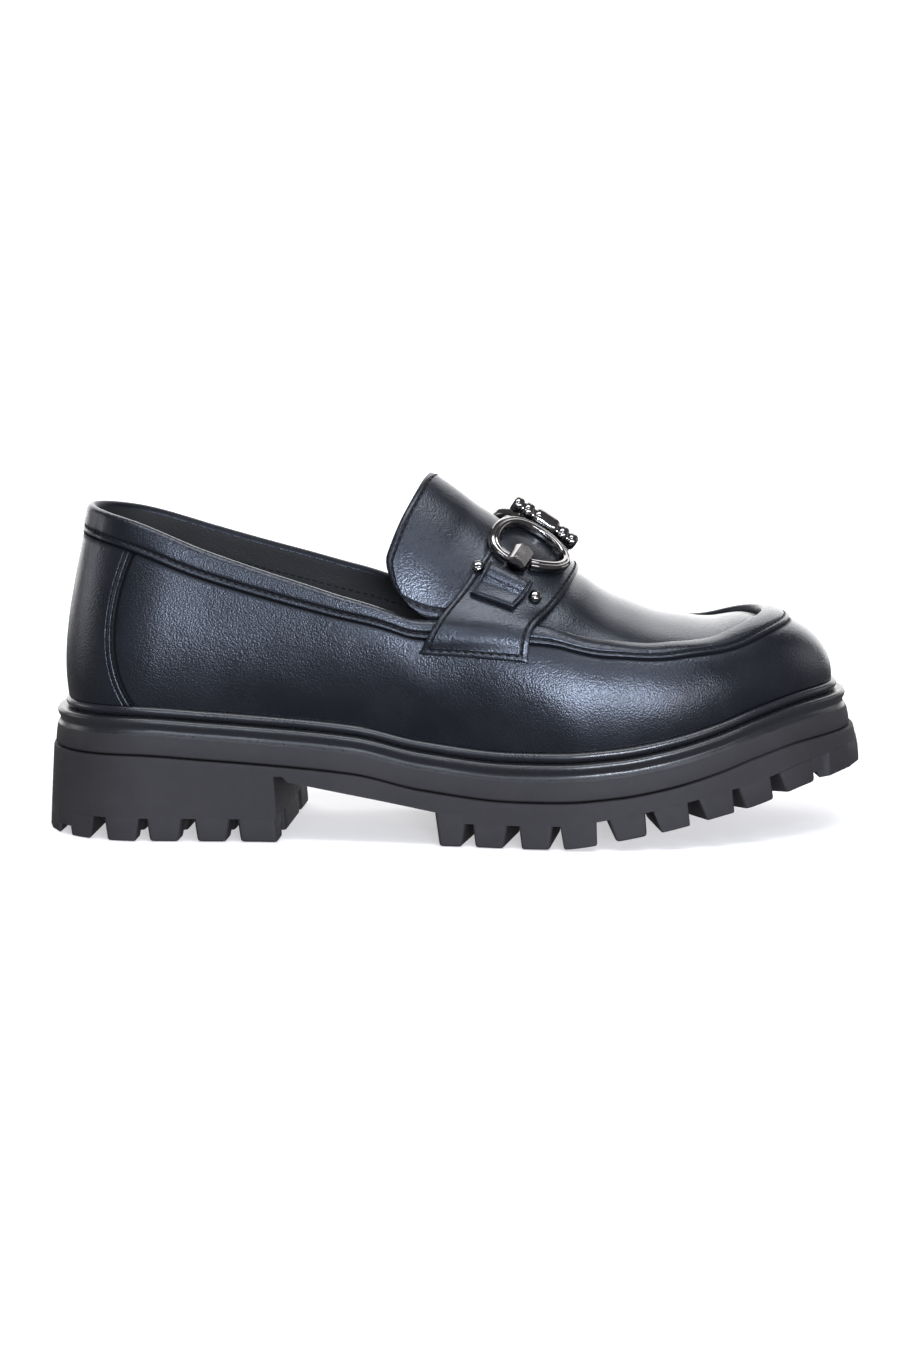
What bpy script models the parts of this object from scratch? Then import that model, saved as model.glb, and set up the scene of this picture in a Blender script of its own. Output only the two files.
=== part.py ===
"""Right loafer with a thick lugged sole, a moccasin apron, a saddle strap and a plain two-ring bit.

Metres. +X runs to the toe, +Y to the inner (medial) side and +Z up. The origin is on the floor, under the
middle of the shoe's box. "Lateral" is the outer side at -Y.
"""

import math

import bmesh
import bpy
import numpy as np
from mathutils import Vector

# Overall sizes
SOLE_LENGTH = 0.278
BALL_WIDTH = 0.102
HEEL_STACK = 0.0415  # floor to the midsole's top under the heel
FORE_STACK = 0.0277  # floor to the midsole's top under the ball
TOE_RISE = 0.0188  # how far the midsole's top climbs from ball to toe tip
TOE_SPRING = 0.0220  # how far the tread leaves the floor at the toe tip
BACK_HEIGHT = 0.0645  # upper's edge to the collar at the heel
TOE_BOX_HEIGHT = 0.027  # upper's edge to the rim at the toe
INSTEP_RISE = 0.0225  # crest of the vamp above its rim at the throat
INSTEP_LEAN = 0.018  # how far the crest lies in front of its rim at the throat
GAP = 0.0003  # clearance between pieces that touch

# Sole
MIDSOLE_HEIGHT = 0.012
NOTCH_HEIGHT = 0.0012  # the groove between midsole and outsole
NOTCH_DEPTH = 0.0012
LIP_HEIGHT = 0.0014
COVE_DEPTH = 0.0007
SOLE_FLARE = 0.0041  # how far the midsole's top edge stands inside the tread's
BASE_CHAMFER = 0.0014
LUG_DEPTH = 0.0078
LUG_GAP_NARROW = 0.0024
LUG_GAP_WIDE = 0.0039
LUG_GAP_SPREAD = 0.0024  # how much wider a gap is at the floor than at its root
LUG_PITCH = 0.0147
HEEL_PITCH = 0.0153
END_GAP_DEPTH = 0.40  # the gaps nearest the heel's back and the toe, as a share of the others' depth
CHANNEL_WIDTH = 0.0055
CHANNEL_OFFSET = 0.017  # from the middle to each lengthwise channel
HEEL_CHANNEL_WIDTH = 0.010  # the lateral one under the heel
HEEL_CHANNEL_OFFSET = 0.021
SLOPE_STEP = 0.004  # half the run over which the tread's slope is read
HEEL_LENGTH = 0.0818  # back of the heel to the middle of its breast
BREAST_SKEW = 0.0078  # how far the breast's medial end lies in front of its lateral end
BREAST_LEAN = 0.0016
ARCH_REAR = 0.0205  # floor to the shank at the heel's breast
ARCH_FRONT = 0.0113  # floor to the shank at the first fore lug
ARCH_END = 0.132  # back of the heel to the first fore lug

# Upper, welt and insole
WELT_HEIGHT = 0.0032
WELT_MARGIN = 0.0026  # bare midsole edge outside the welt
WELT_PROUD = 0.0018  # the welt's roll outside the upper
UPPER_WALL = 0.0022
INSOLE_THICKNESS = 0.0058
COLLAR_LEAN = 0.0075  # the collar's back in front of the upper's bottom edge
RIM_SETBACK = 0.0245  # the rim's tip behind the upper's bottom edge at the toe
BAND_WIDTH = 0.0098  # the stitched band along collar and apron
BAND_LIFT = 0.0012
COUNTER_LIFT = 0.0009
COUNTER_SEAM = 0.102  # the counter's edge, as a share of the loop from the heel's back
COUNTER_STEP = 0.0012  # half the run of its step, as a share of the loop
COUNTER_BOW = 0.018  # how far the seam bends back at mid height
COUNTER_TILT = 0.0042  # how far its lower end lies in front of its middle and its upper end behind
COUNTER_REACH = 0.09  # how far beside the seam the wall's sections bend with it
STEP_RUN = 0.0006  # how far a raised edge takes to rise
APRON_DROP = 0.0021  # the apron's edge below the band's rim
APRON_TUCK = 0.0011
THROAT = 0.588  # the throat's place along the rim, as a share of the rim's length

# Tongue, strap and bit
TONGUE_TOP = 0.400  # the tongue's free edge, as a place along the rim
TONGUE_REACH = 0.96  # how much of the way from crest to rim the tongue spans
TONGUE_TUCK = 0.0024  # how far the tongue's wings lie inside the foot's section
STRAP_WALL = 0.0020
STRAP_REAR = 0.519  # places along the rim
STRAP_FRONT = 0.658
STRAP_DROP_REAR = 0.0122  # the strap's ends below the rim
STRAP_DROP_FRONT = 0.0160
STRAP_SWEEP_REAR = 0.036  # how far the strap's ends lean back, as a share of the rim
STRAP_SWEEP_FRONT = 0.029
KEEPER_LENGTH = 0.0128
KEEPER_TURN = 0.24  # how far a keeper turns its front end down, as a slope
KEEPER_LEAN = 0.05  # how far its lower end lies in front of its upper end, as a slope
KEEPER_WIDTH = 0.0166
KEEPER_HEIGHT = 0.0044
RING_LENGTH = 0.0285
RING_WIDTH = 0.0220
RING_WIRE = 0.0034
BIT_SHIFT = -0.0035  # the bit's middle from the strap's
KNOB_RADIUS = 0.0037
KNOB_LENGTH = 0.0070
BRIDGE_LENGTH = 0.0245
BARREL_RADIUS = 0.0037
STUD_RADIUS = 0.0022
STUD_HEIGHT = 0.0019
RING_START = BARREL_RADIUS  # from the crest to each ring
KNOB_START = RING_START + RING_WIDTH - RING_WIRE / 2 - KNOB_LENGTH / 2
KEEPER_START = KNOB_START + KNOB_LENGTH + 2 * GAP
SIDES = (("lateral", -1), ("medial", 1))

# Cutters
BELOW_FLOOR = 0.006  # how far a cutter reaches under the floor
PAST_SIDE = BALL_WIDTH  # how far from the middle a cutter ends
HEEL_FIRST_GAP = 0.88  # pitches from the breast back to the first heel gap
HEEL_LAST_PITCH = 0.85  # pitches from the last full heel gap to the shallow one behind it
FORE_FIRST_GAP = 0.82  # pitches from the front of the arch to the first fore gap
CHANNEL_DEPTH = LUG_DEPTH * 0.96
FAN_START = CHANNEL_OFFSET + CHANNEL_WIDTH / 2  # how far from the middle the fore gaps fan out
FAN_END = BALL_WIDTH * 0.62  # where a fanned cutter ends
FAN_LIMIT = 0.40  # the steepest fan, as a slope

# Mesh density
SIDE_STEPS = 32  # stations from heel to toe along one side
WALL_STEPS = 8
APRON_STEPS = 12
TONGUE_STEPS = 7
STRAP_ROWS = 5
STRAP_STEPS = 28
RING_STEPS = 24
ROUND_STEPS = 8
CHANNEL_STEPS = 8


class Table:
    """Rows of shares under named columns, read at any place with a smooth curve through the rows."""

    def __init__(self, names, rows):
        data = np.array(rows, float)
        self.columns = {name: data[:, i] for i, name in enumerate(names)}
        self.along = data[:, 0]

    def at(self, name, along):
        x, y = self.along, self.columns[name]
        steps = np.diff(x)
        slopes = np.diff(y) / steps
        bends = np.zeros(len(x))
        same = slopes[1:] * slopes[:-1] > 0
        before, after = slopes[:-1][same], slopes[1:][same]
        bends[1:-1][same] = 2 * before * after / (before + after)
        bends[0], bends[-1] = slopes[0], slopes[-1]
        i = int(np.clip(np.searchsorted(x, along) - 1, 0, len(x) - 2))
        s = (np.clip(along, x[0], x[-1]) - x[i]) / steps[i]
        rise = y[i] * (1 + 2 * s) * (1 - s) ** 2 + y[i + 1] * s * s * (3 - 2 * s)
        turn = bends[i] * s * (1 - s) ** 2 - bends[i + 1] * s * s * (1 - s)
        return float(rise + turn * steps[i])


# Shares of the ball width, by place along the sole. Flare scales how far the sole's wall leans.
PLAN = Table(
    ("along", "centre", "half", "flare"),
    [
        (0.00, 0.020, 0.362, 0.80),
        (0.10, 0.020, 0.362, 0.80),
        (0.25, 0.008, 0.362, 0.85),
        (0.38, -0.020, 0.365, 0.95),
        (0.48, -0.034, 0.388, 1.00),
        (0.58, -0.029, 0.446, 1.00),
        (0.66, -0.010, 0.490, 1.00),
        (0.74, 0.005, 0.495, 1.05),
        (0.84, 0.034, 0.466, 1.15),
        (0.92, 0.058, 0.420, 1.30),
        (1.00, 0.078, 0.375, 1.40),
    ],
)
HEEL_ROUND, HEEL_POWER = 0.135, 2.2  # the heel's round end, as a share of the length, and its squareness
TOE_ROUND, TOE_POWER = 0.25, 2.35

# Shares of the step from fore stack to heel stack, of the toe rise and of the toe spring.
SIDE = Table(
    ("along", "heel", "rise", "spring"),
    [
        (0.000, 0.975, 0.00, 0.000),
        (0.104, 0.990, 0.00, 0.000),
        (0.198, 0.875, 0.00, 0.000),
        (0.252, 0.797, 0.00, 0.000),
        (0.374, 0.580, 0.00, 0.000),
        (0.457, 0.225, 0.00, 0.000),
        (0.558, 0.010, 0.00, 0.000),
        (0.622, 0.000, 0.015, 0.012),
        (0.694, 0.000, 0.10, 0.140),
        (0.754, 0.000, 0.26, 0.295),
        (0.815, 0.000, 0.49, 0.470),
        (0.860, 0.000, 0.70, 0.590),
        (0.928, 0.000, 0.92, 0.830),
        (1.000, 0.000, 1.00, 1.000),
    ],
)

# The rim: the collar's top edge and, in front, the apron's seam. Centre and half are shares of the ball
# width, back of the back height, toe of the toe box height, and medial adds to the inner side's height.
RIM = Table(
    ("along", "centre", "half", "back", "toe", "medial"),
    [
        (0.000, 0.020, 0.240, 1.010, 0.00, 0.000),
        (0.070, 0.020, 0.240, 0.950, 0.00, 0.008),
        (0.167, 0.014, 0.252, 0.838, 0.00, 0.040),
        (0.225, 0.008, 0.262, 0.782, 0.00, 0.050),
        (0.316, -0.004, 0.278, 0.707, 0.00, 0.062),
        (0.388, -0.012, 0.292, 0.655, 0.00, 0.067),
        (0.460, -0.016, 0.305, 0.628, 0.00, 0.064),
        (0.550, -0.015, 0.320, 0.460, 0.46, 0.045),
        (0.620, -0.010, 0.332, 0.260, 0.94, 0.028),
        (0.695, 0.000, 0.340, 0.110, 1.19, 0.014),
        (0.754, 0.010, 0.343, 0.040, 1.20, 0.005),
        (0.842, 0.026, 0.337, 0.000, 1.12, 0.000),
        (0.930, 0.040, 0.325, 0.000, 0.99, 0.000),
        (1.000, 0.048, 0.310, 0.000, 1.00, 0.000),
    ],
)
COLLAR_ROUND, COLLAR_POWER = 0.13, 2.1
APRON_ROUND, APRON_POWER = 0.22, 2.3

# How the wall leaves the bottom edge and reaches the rim: outward shares of the ball width, and shares of
# the wall's own height.
WALL = Table(
    ("along", "low_out", "low_up", "high_out", "high_down", "band"),
    [
        (0.00, 0.032, 0.32, 0.032, 0.33, 1.00),
        (0.12, 0.036, 0.32, 0.034, 0.33, 1.00),
        (0.30, 0.042, 0.33, 0.028, 0.33, 0.88),
        (0.48, 0.040, 0.35, 0.040, 0.32, 0.70),
        (0.62, 0.036, 0.38, 0.062, 0.27, 0.80),
        (0.74, 0.030, 0.42, 0.078, 0.21, 0.92),
        (0.86, 0.022, 0.50, 0.096, 0.13, 1.00),
        (1.00, 0.006, 0.56, 0.118, 0.06, 1.00),
    ],
)

# The crest over the foot, by place along the rim: shares of the instep rise and of the instep lean.
CREST = Table(
    ("along", "rise", "lean"),
    [
        (0.400, 1.790, 1.33),
        (0.480, 1.500, 1.29),
        (0.521, 1.290, 1.20),
        (0.588, 1.000, 1.00),
        (0.661, 0.610, 0.79),
        (0.718, 0.500, 0.56),
        (0.784, 0.360, 0.42),
        (0.850, 0.240, 0.28),
        (0.916, 0.140, 0.11),
        (0.965, 0.050, 0.03),
        (1.000, -0.090, 0.00),
    ],
)

# The tongue's free edge: how far it comes forward from its top on each side, as a share of its own reach,
# by share of the way from crest to wing.
TONGUE = Table(
    ("across", "lateral", "medial"),
    [
        (0.00, 0.00, 0.00),
        (0.25, -0.03, 0.05),
        (0.50, -0.035, 0.09),
        (0.76, 0.00, 0.13),
        (0.88, 0.13, 0.22),
        (0.95, 0.30, 0.36),
        (1.00, 0.52, 0.54),
    ],
)

# How far the fore lug gaps turn: metres forward for each metre to the medial side.
TURN = Table(
    ("along", "turn"),
    [
        (0.48, 0.025),
        (0.62, 0.025),
        (0.70, -0.030),
        (0.78, -0.060),
        (1.00, -0.090),
    ],
)

# The keeper's fold: height above the strap as a share of its own, along its length.
FOLD = Table(
    ("along", "height"),
    [
        (0.00, 0.45),
        (0.10, 0.86),
        (0.25, 1.00),
        (0.42, 0.84),
        (0.56, 0.60),
        (1.00, 0.52),
    ],
)

# The bridge's turned bar from rear to front: shares of its length and of the barrel's radius.
BRIDGE = Table(
    ("along", "radius"),
    [
        (0.000, 0.60),
        (0.030, 0.80),
        (0.090, 0.80),
        (0.110, 0.62),
        (0.150, 0.62),
        (0.170, 0.80),
        (0.230, 0.80),
        (0.260, 0.58),
        (0.330, 0.58),
        (0.370, 0.94),
        (0.440, 1.00),
        (0.580, 1.00),
        (0.650, 0.94),
        (0.690, 0.58),
        (0.760, 0.58),
        (0.790, 0.86),
        (0.970, 0.86),
        (1.000, 0.66),
    ],
)

SLOT_COLOURS = {
    "outsole_rubber": ((0.020, 0.020, 0.022), 0.55, 0.0),
    "midsole_rubber": ((0.022, 0.022, 0.025), 0.50, 0.0),
    "welt_rubber": ((0.014, 0.014, 0.017), 0.30, 0.0),
    "upper_leather": ((0.016, 0.018, 0.028), 0.34, 0.0),
    "tongue_leather": ((0.016, 0.018, 0.028), 0.36, 0.0),
    "strap_leather": ((0.016, 0.018, 0.028), 0.36, 0.0),
    "insole_lining": ((0.012, 0.012, 0.013), 0.60, 0.0),
    "gunmetal": ((0.22, 0.21, 0.21), 0.16, 1.0),
}


def mix(a, b, share):
    return a + (b - a) * share


def rounding(along, first, last, round_first, power_first, round_last, power_last):
    """1 along the middle, falling to 0 at both ends as a superellipse does."""
    share = (along - first) / (last - first)
    if share < round_first:
        return (1 - min(1, (round_first - share) / round_first) ** power_first) ** (1 / power_first)
    if share > 1 - round_last:
        return (1 - min(1, (share - 1 + round_last) / round_last) ** power_last) ** (1 / power_last)
    return 1.0


def along_of(w):
    """(place from heel 0 to toe 1, side) for w from 0 round the lateral side to 0.5 at the toe and back."""
    w %= 1.0
    side = -1 if w <= 0.5 else 1
    turn = w if w <= 0.5 else 1 - w
    return (1 - math.cos(2 * math.pi * turn)) / 2, side


def plan_raw(w):
    along, side = along_of(w)
    round_off = rounding(along, 0, 1, HEEL_ROUND, HEEL_POWER, TOE_ROUND, TOE_POWER)
    y = BALL_WIDTH * (PLAN.at("centre", along) + side * PLAN.at("half", along) * round_off)
    return np.array([(along - 0.5) * SOLE_LENGTH, y])


def plan_shift():
    """Moves the plan sideways so that the box's middle is at the origin."""
    ys = [plan_raw(i / 400)[1] for i in range(400)]
    return (max(ys) + min(ys)) / 2


PLAN_SHIFT = plan_shift()


def plan_point(w, inset):
    """A point of the sole's outline, moved in along its normal, and the outward normal."""
    step = 0.004
    here = plan_raw(w)
    tangent = plan_raw(w + step) - plan_raw(w - step)
    outward = np.array([tangent[1], -tangent[0]]) / np.linalg.norm(tangent)
    point = here - outward * inset
    return np.array([point[0], point[1] - PLAN_SHIFT]), outward


def share_of(x):
    return min(1.0, max(0.0, x / SOLE_LENGTH + 0.5))


def midsole_top(x):
    along = share_of(x)
    step = (HEEL_STACK - FORE_STACK) * SIDE.at("heel", along)
    return FORE_STACK + step + TOE_RISE * SIDE.at("rise", along)


def notch_level(x):
    return midsole_top(x) - MIDSOLE_HEIGHT


def tread_level(x):
    return TOE_SPRING * SIDE.at("spring", share_of(x))


def flare_at(w):
    return PLAN.at("flare", along_of(w)[0])


def sole_ring(inset, level, steps=SIDE_STEPS, flare=True):
    """A closed ring of points round the sole. level is a function of x."""
    ring = []
    for i in range(2 * steps):
        w = i / (2 * steps)
        (x, y), _ = plan_point(w, inset * (flare_at(w) if flare else 1))
        ring.append((x, y, level(x)))
    return ring


def edge_inset(w):
    """How far the midsole's top edge lies inside the tread's outline."""
    return SOLE_FLARE * flare_at(w)


UPPER_INSET = WELT_MARGIN + WELT_PROUD
UPPER_BASE = WELT_HEIGHT + 2 * GAP


def feather_point(w):
    """The upper's bottom edge and its outward normal in plan."""
    (x, y), outward = plan_point(w, edge_inset(w) + UPPER_INSET)
    return np.array([x, y, midsole_top(x) + UPPER_BASE]), np.array([*outward, 0.0])


FEATHER_REAR = feather_point(0.0)[0][0]
FEATHER_FRONT = feather_point(0.5)[0][0]
RIM_REAR = FEATHER_REAR + COLLAR_LEAN
RIM_FRONT = FEATHER_FRONT - RIM_SETBACK


def rim_x(along):
    return mix(RIM_REAR, RIM_FRONT, along)


def rim_height(along, side):
    base = midsole_top(rim_x(along)) + UPPER_BASE
    back = RIM.at("back", along) + (RIM.at("medial", along) if side > 0 else 0)
    return base + BACK_HEIGHT * back + TOE_BOX_HEIGHT * RIM.at("toe", along)


def rim_at(along, side):
    round_off = rounding(along, 0, 1, COLLAR_ROUND, COLLAR_POWER, APRON_ROUND, APRON_POWER)
    y = BALL_WIDTH * (RIM.at("centre", along) + side * RIM.at("half", along) * round_off)
    return np.array([rim_x(along), y - PLAN_SHIFT, rim_height(along, side)])


def rim_point(w):
    return rim_at(*along_of(w))


def bezier(points, s):
    a, b, c, d = points
    return a * (1 - s) ** 3 + b * 3 * s * (1 - s) ** 2 + c * 3 * s * s * (1 - s) + d * s**3


def wall_curve(w):
    """The four control points of the wall's section, from bottom edge to rim."""
    along, _ = along_of(w)
    low, outward = feather_point(w)
    high = rim_point(w)
    height = np.array([0, 0, high[2] - low[2]])
    first = low + outward * BALL_WIDTH * WALL.at("low_out", along) + height * WALL.at("low_up", along)
    second = high + outward * BALL_WIDTH * WALL.at("high_out", along) - height * WALL.at("high_down", along)
    return low, first, second, high


def wall_length(w):
    curve = wall_curve(w)
    points = [bezier(curve, s) for s in np.linspace(0, 1, 13)]
    return sum(np.linalg.norm(b - a) for a, b in zip(points, points[1:]))


def bowed(w, v):
    """Bends the sections near the counter's seam back at mid height, as the seam is bent."""
    near = w if w <= 0.5 else 1 - w
    fall = max(0.0, 1 - abs(near - COUNTER_SEAM) / COUNTER_REACH)
    shift = (COUNTER_BOW * 4 * v * (1 - v) + COUNTER_TILT * (2 * v - 1)) * fall * fall * (3 - 2 * fall)
    return w - shift if w <= 0.5 else w + shift


def wall_point(w, v):
    return bezier(wall_curve(bowed(w, v)), v)


def wall_normal(w, v):
    step = 0.003
    around = wall_point(w + step, v) - wall_point(w - step, v)
    up = wall_point(w, min(1, v + step)) - wall_point(w, max(0, v - step))
    normal = np.cross(around, up)
    return normal / np.linalg.norm(normal)


def apron_curve(along):
    """Control points of the section across the foot: the lateral half and the medial half."""
    x = rim_x(along) + INSTEP_LEAN * CREST.at("lean", along)
    low_rim = rim_height(along, -1)
    ends = [rim_at(along, side) for side in (-1, 1)]
    crest = np.array([x, (ends[0][1] + ends[1][1]) / 2, low_rim + INSTEP_RISE * CREST.at("rise", along)])
    halves = []
    for end in ends:
        inward = crest[1] - end[1]
        tuck = math.copysign(min(APRON_TUCK, abs(inward)), inward)
        start = end + np.array([0, tuck, -APRON_DROP])
        climb = crest - start
        first = start + np.array([climb[0] * 0.5, climb[1] * 0.12, climb[2] * 0.52])
        second = crest - np.array([0, climb[1] * 0.52, 0])
        halves.append((start, first, second, crest))
    return halves


def apron_point(along, q):
    """q runs from -1 at the lateral rim over 0 at the crest to 1 at the medial rim."""
    half = apron_curve(along)[0 if q <= 0 else 1]
    return bezier(half, 1 - abs(q))


def material(slot):
    made = bpy.data.materials.get(slot)
    if made:
        return made
    colour, roughness, metallic = SLOT_COLOURS[slot]
    made = bpy.data.materials.new(slot)
    made.use_nodes = True
    shader = made.node_tree.nodes["Principled BSDF"]
    shader.inputs["Base Color"].default_value = (*colour, 1)
    shader.inputs["Roughness"].default_value = roughness
    shader.inputs["Metallic"].default_value = metallic
    return made


def add_object(name, vertices, faces, slot):
    """A mesh object from points and faces, with its faces turned out."""
    mesh = bpy.data.meshes.new(name)
    mesh.from_pydata([tuple(map(float, v)) for v in vertices], [], faces)
    work = bmesh.new()
    work.from_mesh(mesh)
    bmesh.ops.remove_doubles(work, verts=work.verts, dist=1e-6)
    bmesh.ops.recalc_face_normals(work, faces=work.faces)
    work.to_mesh(mesh)
    work.free()
    obj = bpy.data.objects.new(name, mesh)
    bpy.context.scene.collection.objects.link(obj)
    if slot:
        mesh.materials.append(material(slot))
        mesh.shade_smooth()
        mesh.set_sharp_from_angle(angle=math.radians(35))
    return obj


def strip_cap(first, steps):
    """Faces that close a ring of 2 * steps points, from its lateral half to its medial half."""
    total = 2 * steps
    faces = []
    for i in range(steps):
        corners = [first + i, first + i + 1, first + (total - i - 1) % total, first + (total - i) % total]
        faces.append([c for n, c in enumerate(corners) if c not in corners[:n]])
    return faces


def ring_faces(first, second, count):
    """Faces between two rings of count points."""
    return [(first + i, first + (i + 1) % count, second + (i + 1) % count, second + i) for i in range(count)]


def lofted_slab(name, rings, slot, steps=SIDE_STEPS):
    """A closed solid through rings from bottom to top, with caps across the foot."""
    count = 2 * steps
    vertices = [p for ring in rings for p in ring]
    faces = strip_cap(0, steps) + strip_cap(count * (len(rings) - 1), steps)
    for level in range(len(rings) - 1):
        faces += ring_faces(level * count, (level + 1) * count, count)
    return add_object(name, vertices, faces, slot)


def cut(target, cutter):
    cutter.hide_render = True
    cutter.display_type = "WIRE"
    modifier = target.modifiers.new(cutter.name, "BOOLEAN")
    modifier.operation = "DIFFERENCE"
    modifier.object = cutter


def prism(name, sections, slot=None):
    """A closed solid through outlines of the same number of points."""
    count = len(sections[0])
    vertices = [p for section in sections for p in section]
    faces = [list(range(count)), list(range(count * (len(sections) - 1), count * len(sections)))]
    for level in range(len(sections) - 1):
        faces += ring_faces(level * count, (level + 1) * count, count)
    return add_object(name, vertices, faces, slot)


HEEL_TURN = BREAST_SKEW / 2 / (BALL_WIDTH * PLAN.at("half", 0))


def tread_frame(x):
    """The tread's place at x, with the directions along it and square to it."""
    slope = math.atan2(tread_level(x + SLOPE_STEP) - tread_level(x - SLOPE_STEP), 2 * SLOPE_STEP)
    along = np.array([math.cos(slope), 0, math.sin(slope)])
    up = np.array([-math.sin(slope), 0, math.cos(slope)])
    return np.array([x, 0, tread_level(x)]), along, up


def lateral_edge(x):
    """How far from the middle the outline lies at x, on the lateral side."""
    w = math.acos(1 - 2 * share_of(x)) / (2 * math.pi)
    return PLAN_SHIFT - plan_raw(w)[1]


def fan_at(x):
    """How far a fore gap whose outer end is at x runs forward for each metre outward."""
    narrowing = (lateral_edge(x - SLOPE_STEP) - lateral_edge(x + SLOPE_STEP)) / (2 * SLOPE_STEP)
    return min(FAN_LIMIT, max(-FAN_LIMIT, narrowing))


def gap_middle(x):
    """Where the middle of a fore gap lies, when its outer end is at x."""
    return x - fan_at(x) * max(0, lateral_edge(x) - FAN_START)


def lug_gap(name, x, root_width, turn, fan=0.0, depth=LUG_DEPTH):
    """A cutter across the sole, square to the tread where it is, whose ends fan out."""
    floor_half = root_width / 2 + LUG_GAP_SPREAD / 2 * (depth + BELOW_FLOOR) / LUG_DEPTH
    corners = (
        (-root_width / 2, depth),
        (root_width / 2, depth),
        (floor_half, -BELOW_FLOOR),
        (-floor_half, -BELOW_FLOOR),
    )
    sections = []
    places = (-FAN_END, -FAN_START, FAN_START, FAN_END) if fan else (-PAST_SIDE, PAST_SIDE)
    for y in places:
        outward = max(0, abs(y) - FAN_START)
        centre, along, up = tread_frame(x + turn * y + fan * outward)
        centre[1] = y
        sections.append([centre + along * half + up * height for half, height in corners])
    return prism(name, sections)


def channel(name, x_from, x_to, y, width=CHANNEL_WIDTH):
    """A lengthwise cutter that follows the tread and ends square to it."""
    sections = []
    for x in np.linspace(x_from, x_to, CHANNEL_STEPS):
        centre, _, up = tread_frame(x)
        corners = ((-1, -BELOW_FLOOR), (1, -BELOW_FLOOR), (1, CHANNEL_DEPTH), (-1, CHANNEL_DEPTH))
        sections.append([centre + up * height + np.array([0, y + side * width / 2, 0]) for side, height in corners])
    return prism(name, sections)


def heel_back():
    return -SOLE_LENGTH / 2


def arch_cutter():
    """The space under the shank, between the skewed heel breast and the first fore lug."""
    breast = heel_back() + HEEL_LENGTH
    front = heel_back() + ARCH_END
    sections = []
    for side in (-1, 1):
        y = side * PAST_SIDE
        rear = breast + HEEL_TURN * y
        sections.append(
            [
                (rear, y, ARCH_REAR),
                (front, y, ARCH_FRONT),
                (front + BREAST_LEAN, y, -BELOW_FLOOR),
                (rear + BREAST_LEAN, y, -BELOW_FLOOR),
            ]
        )
    return prism("arch_cutter", sections)


def heel_gap_places(breast):
    """x of each gap under the heel, a pitch apart from the breast back."""
    number = int((HEEL_LENGTH - HEEL_PITCH) / HEEL_PITCH)
    return [breast - (i + HEEL_FIRST_GAP) * HEEL_PITCH for i in range(number)]


def fore_gap_places(start):
    """x of each gap in front, a pitch apart along the tread's curve."""
    places, x, travelled = [], start, 0.0
    fine = LUG_PITCH / 40
    while x < SOLE_LENGTH / 2 - LUG_PITCH:
        step_up = tread_level(x + fine) - tread_level(x)
        travelled += math.hypot(fine, step_up)
        x += fine
        if travelled >= LUG_PITCH * (FORE_FIRST_GAP + len(places)):
            places.append(x)
    return places


def build_outsole():
    top = -NOTCH_HEIGHT / 2 - GAP / 2
    rings = [
        sole_ring(BASE_CHAMFER, tread_level, flare=False),
        sole_ring(0, lambda x: tread_level(x) + BASE_CHAMFER * 1.4, flare=False),
        sole_ring(SOLE_FLARE * 0.22, lambda x: mix(tread_level(x), notch_level(x), 0.55)),
        sole_ring(SOLE_FLARE * 0.46, lambda x: notch_level(x) + top),
    ]
    outsole = lofted_slab("outsole", rings, "outsole_rubber")
    cut(outsole, arch_cutter())
    breast = heel_back() + HEEL_LENGTH
    front = heel_back() + ARCH_END
    heel = heel_gap_places(breast)
    fore = fore_gap_places(front)
    for i, x in enumerate(heel):
        width = (LUG_GAP_NARROW, LUG_GAP_WIDE)[i % 2]
        cut(outsole, lug_gap(f"heel_gap_{i + 1}", x, width, HEEL_TURN))
    back_gap = heel[-1] - HEEL_PITCH * HEEL_LAST_PITCH
    shallow = LUG_DEPTH * END_GAP_DEPTH
    cut(outsole, lug_gap("heel_back_gap", back_gap, LUG_GAP_NARROW, HEEL_TURN, depth=shallow))
    for i, x in enumerate(fore):
        width = (LUG_GAP_NARROW, LUG_GAP_WIDE)[i % 2]
        depth = LUG_DEPTH * (END_GAP_DEPTH if i == len(fore) - 1 else 1)
        turn = TURN.at("turn", share_of(x))
        cut(outsole, lug_gap(f"fore_gap_{i + 1}", gap_middle(x), width, turn, fan_at(x), depth))
    for name, y, width in (
        ("lateral", -HEEL_CHANNEL_OFFSET, HEEL_CHANNEL_WIDTH),
        ("medial", CHANNEL_OFFSET, CHANNEL_WIDTH),
    ):
        start = heel[-1] + HEEL_TURN * y
        cut(outsole, channel(f"heel_channel_{name}", start, breast + LUG_PITCH, y, width))
    for name, y in (("lateral", -CHANNEL_OFFSET), ("medial", CHANNEL_OFFSET)):
        end = gap_middle(fore[-2]) + TURN.at("turn", share_of(fore[-2])) * y
        cut(outsole, channel(f"fore_channel_{name}", front - LUG_PITCH, end, y))
    return outsole


def build_midsole():
    base = -NOTCH_HEIGHT / 2 + GAP / 2
    notch_inset = SOLE_FLARE * 0.66 + NOTCH_DEPTH
    lip_inset = SOLE_FLARE - LIP_HEIGHT * 0.15
    rings = [
        sole_ring(notch_inset, lambda x: notch_level(x) + base),
        sole_ring(notch_inset, lambda x: notch_level(x) + NOTCH_HEIGHT / 2),
        sole_ring(SOLE_FLARE * 0.66, lambda x: notch_level(x) + NOTCH_HEIGHT),
        sole_ring(SOLE_FLARE * 0.82, lambda x: midsole_top(x) - MIDSOLE_HEIGHT * 0.45),
        sole_ring(SOLE_FLARE + COVE_DEPTH, lambda x: midsole_top(x) - LIP_HEIGHT * 1.25),
        sole_ring(lip_inset, lambda x: midsole_top(x) - LIP_HEIGHT),
        sole_ring(SOLE_FLARE, midsole_top),
    ]
    return lofted_slab("midsole", rings, "midsole_rubber")


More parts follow.
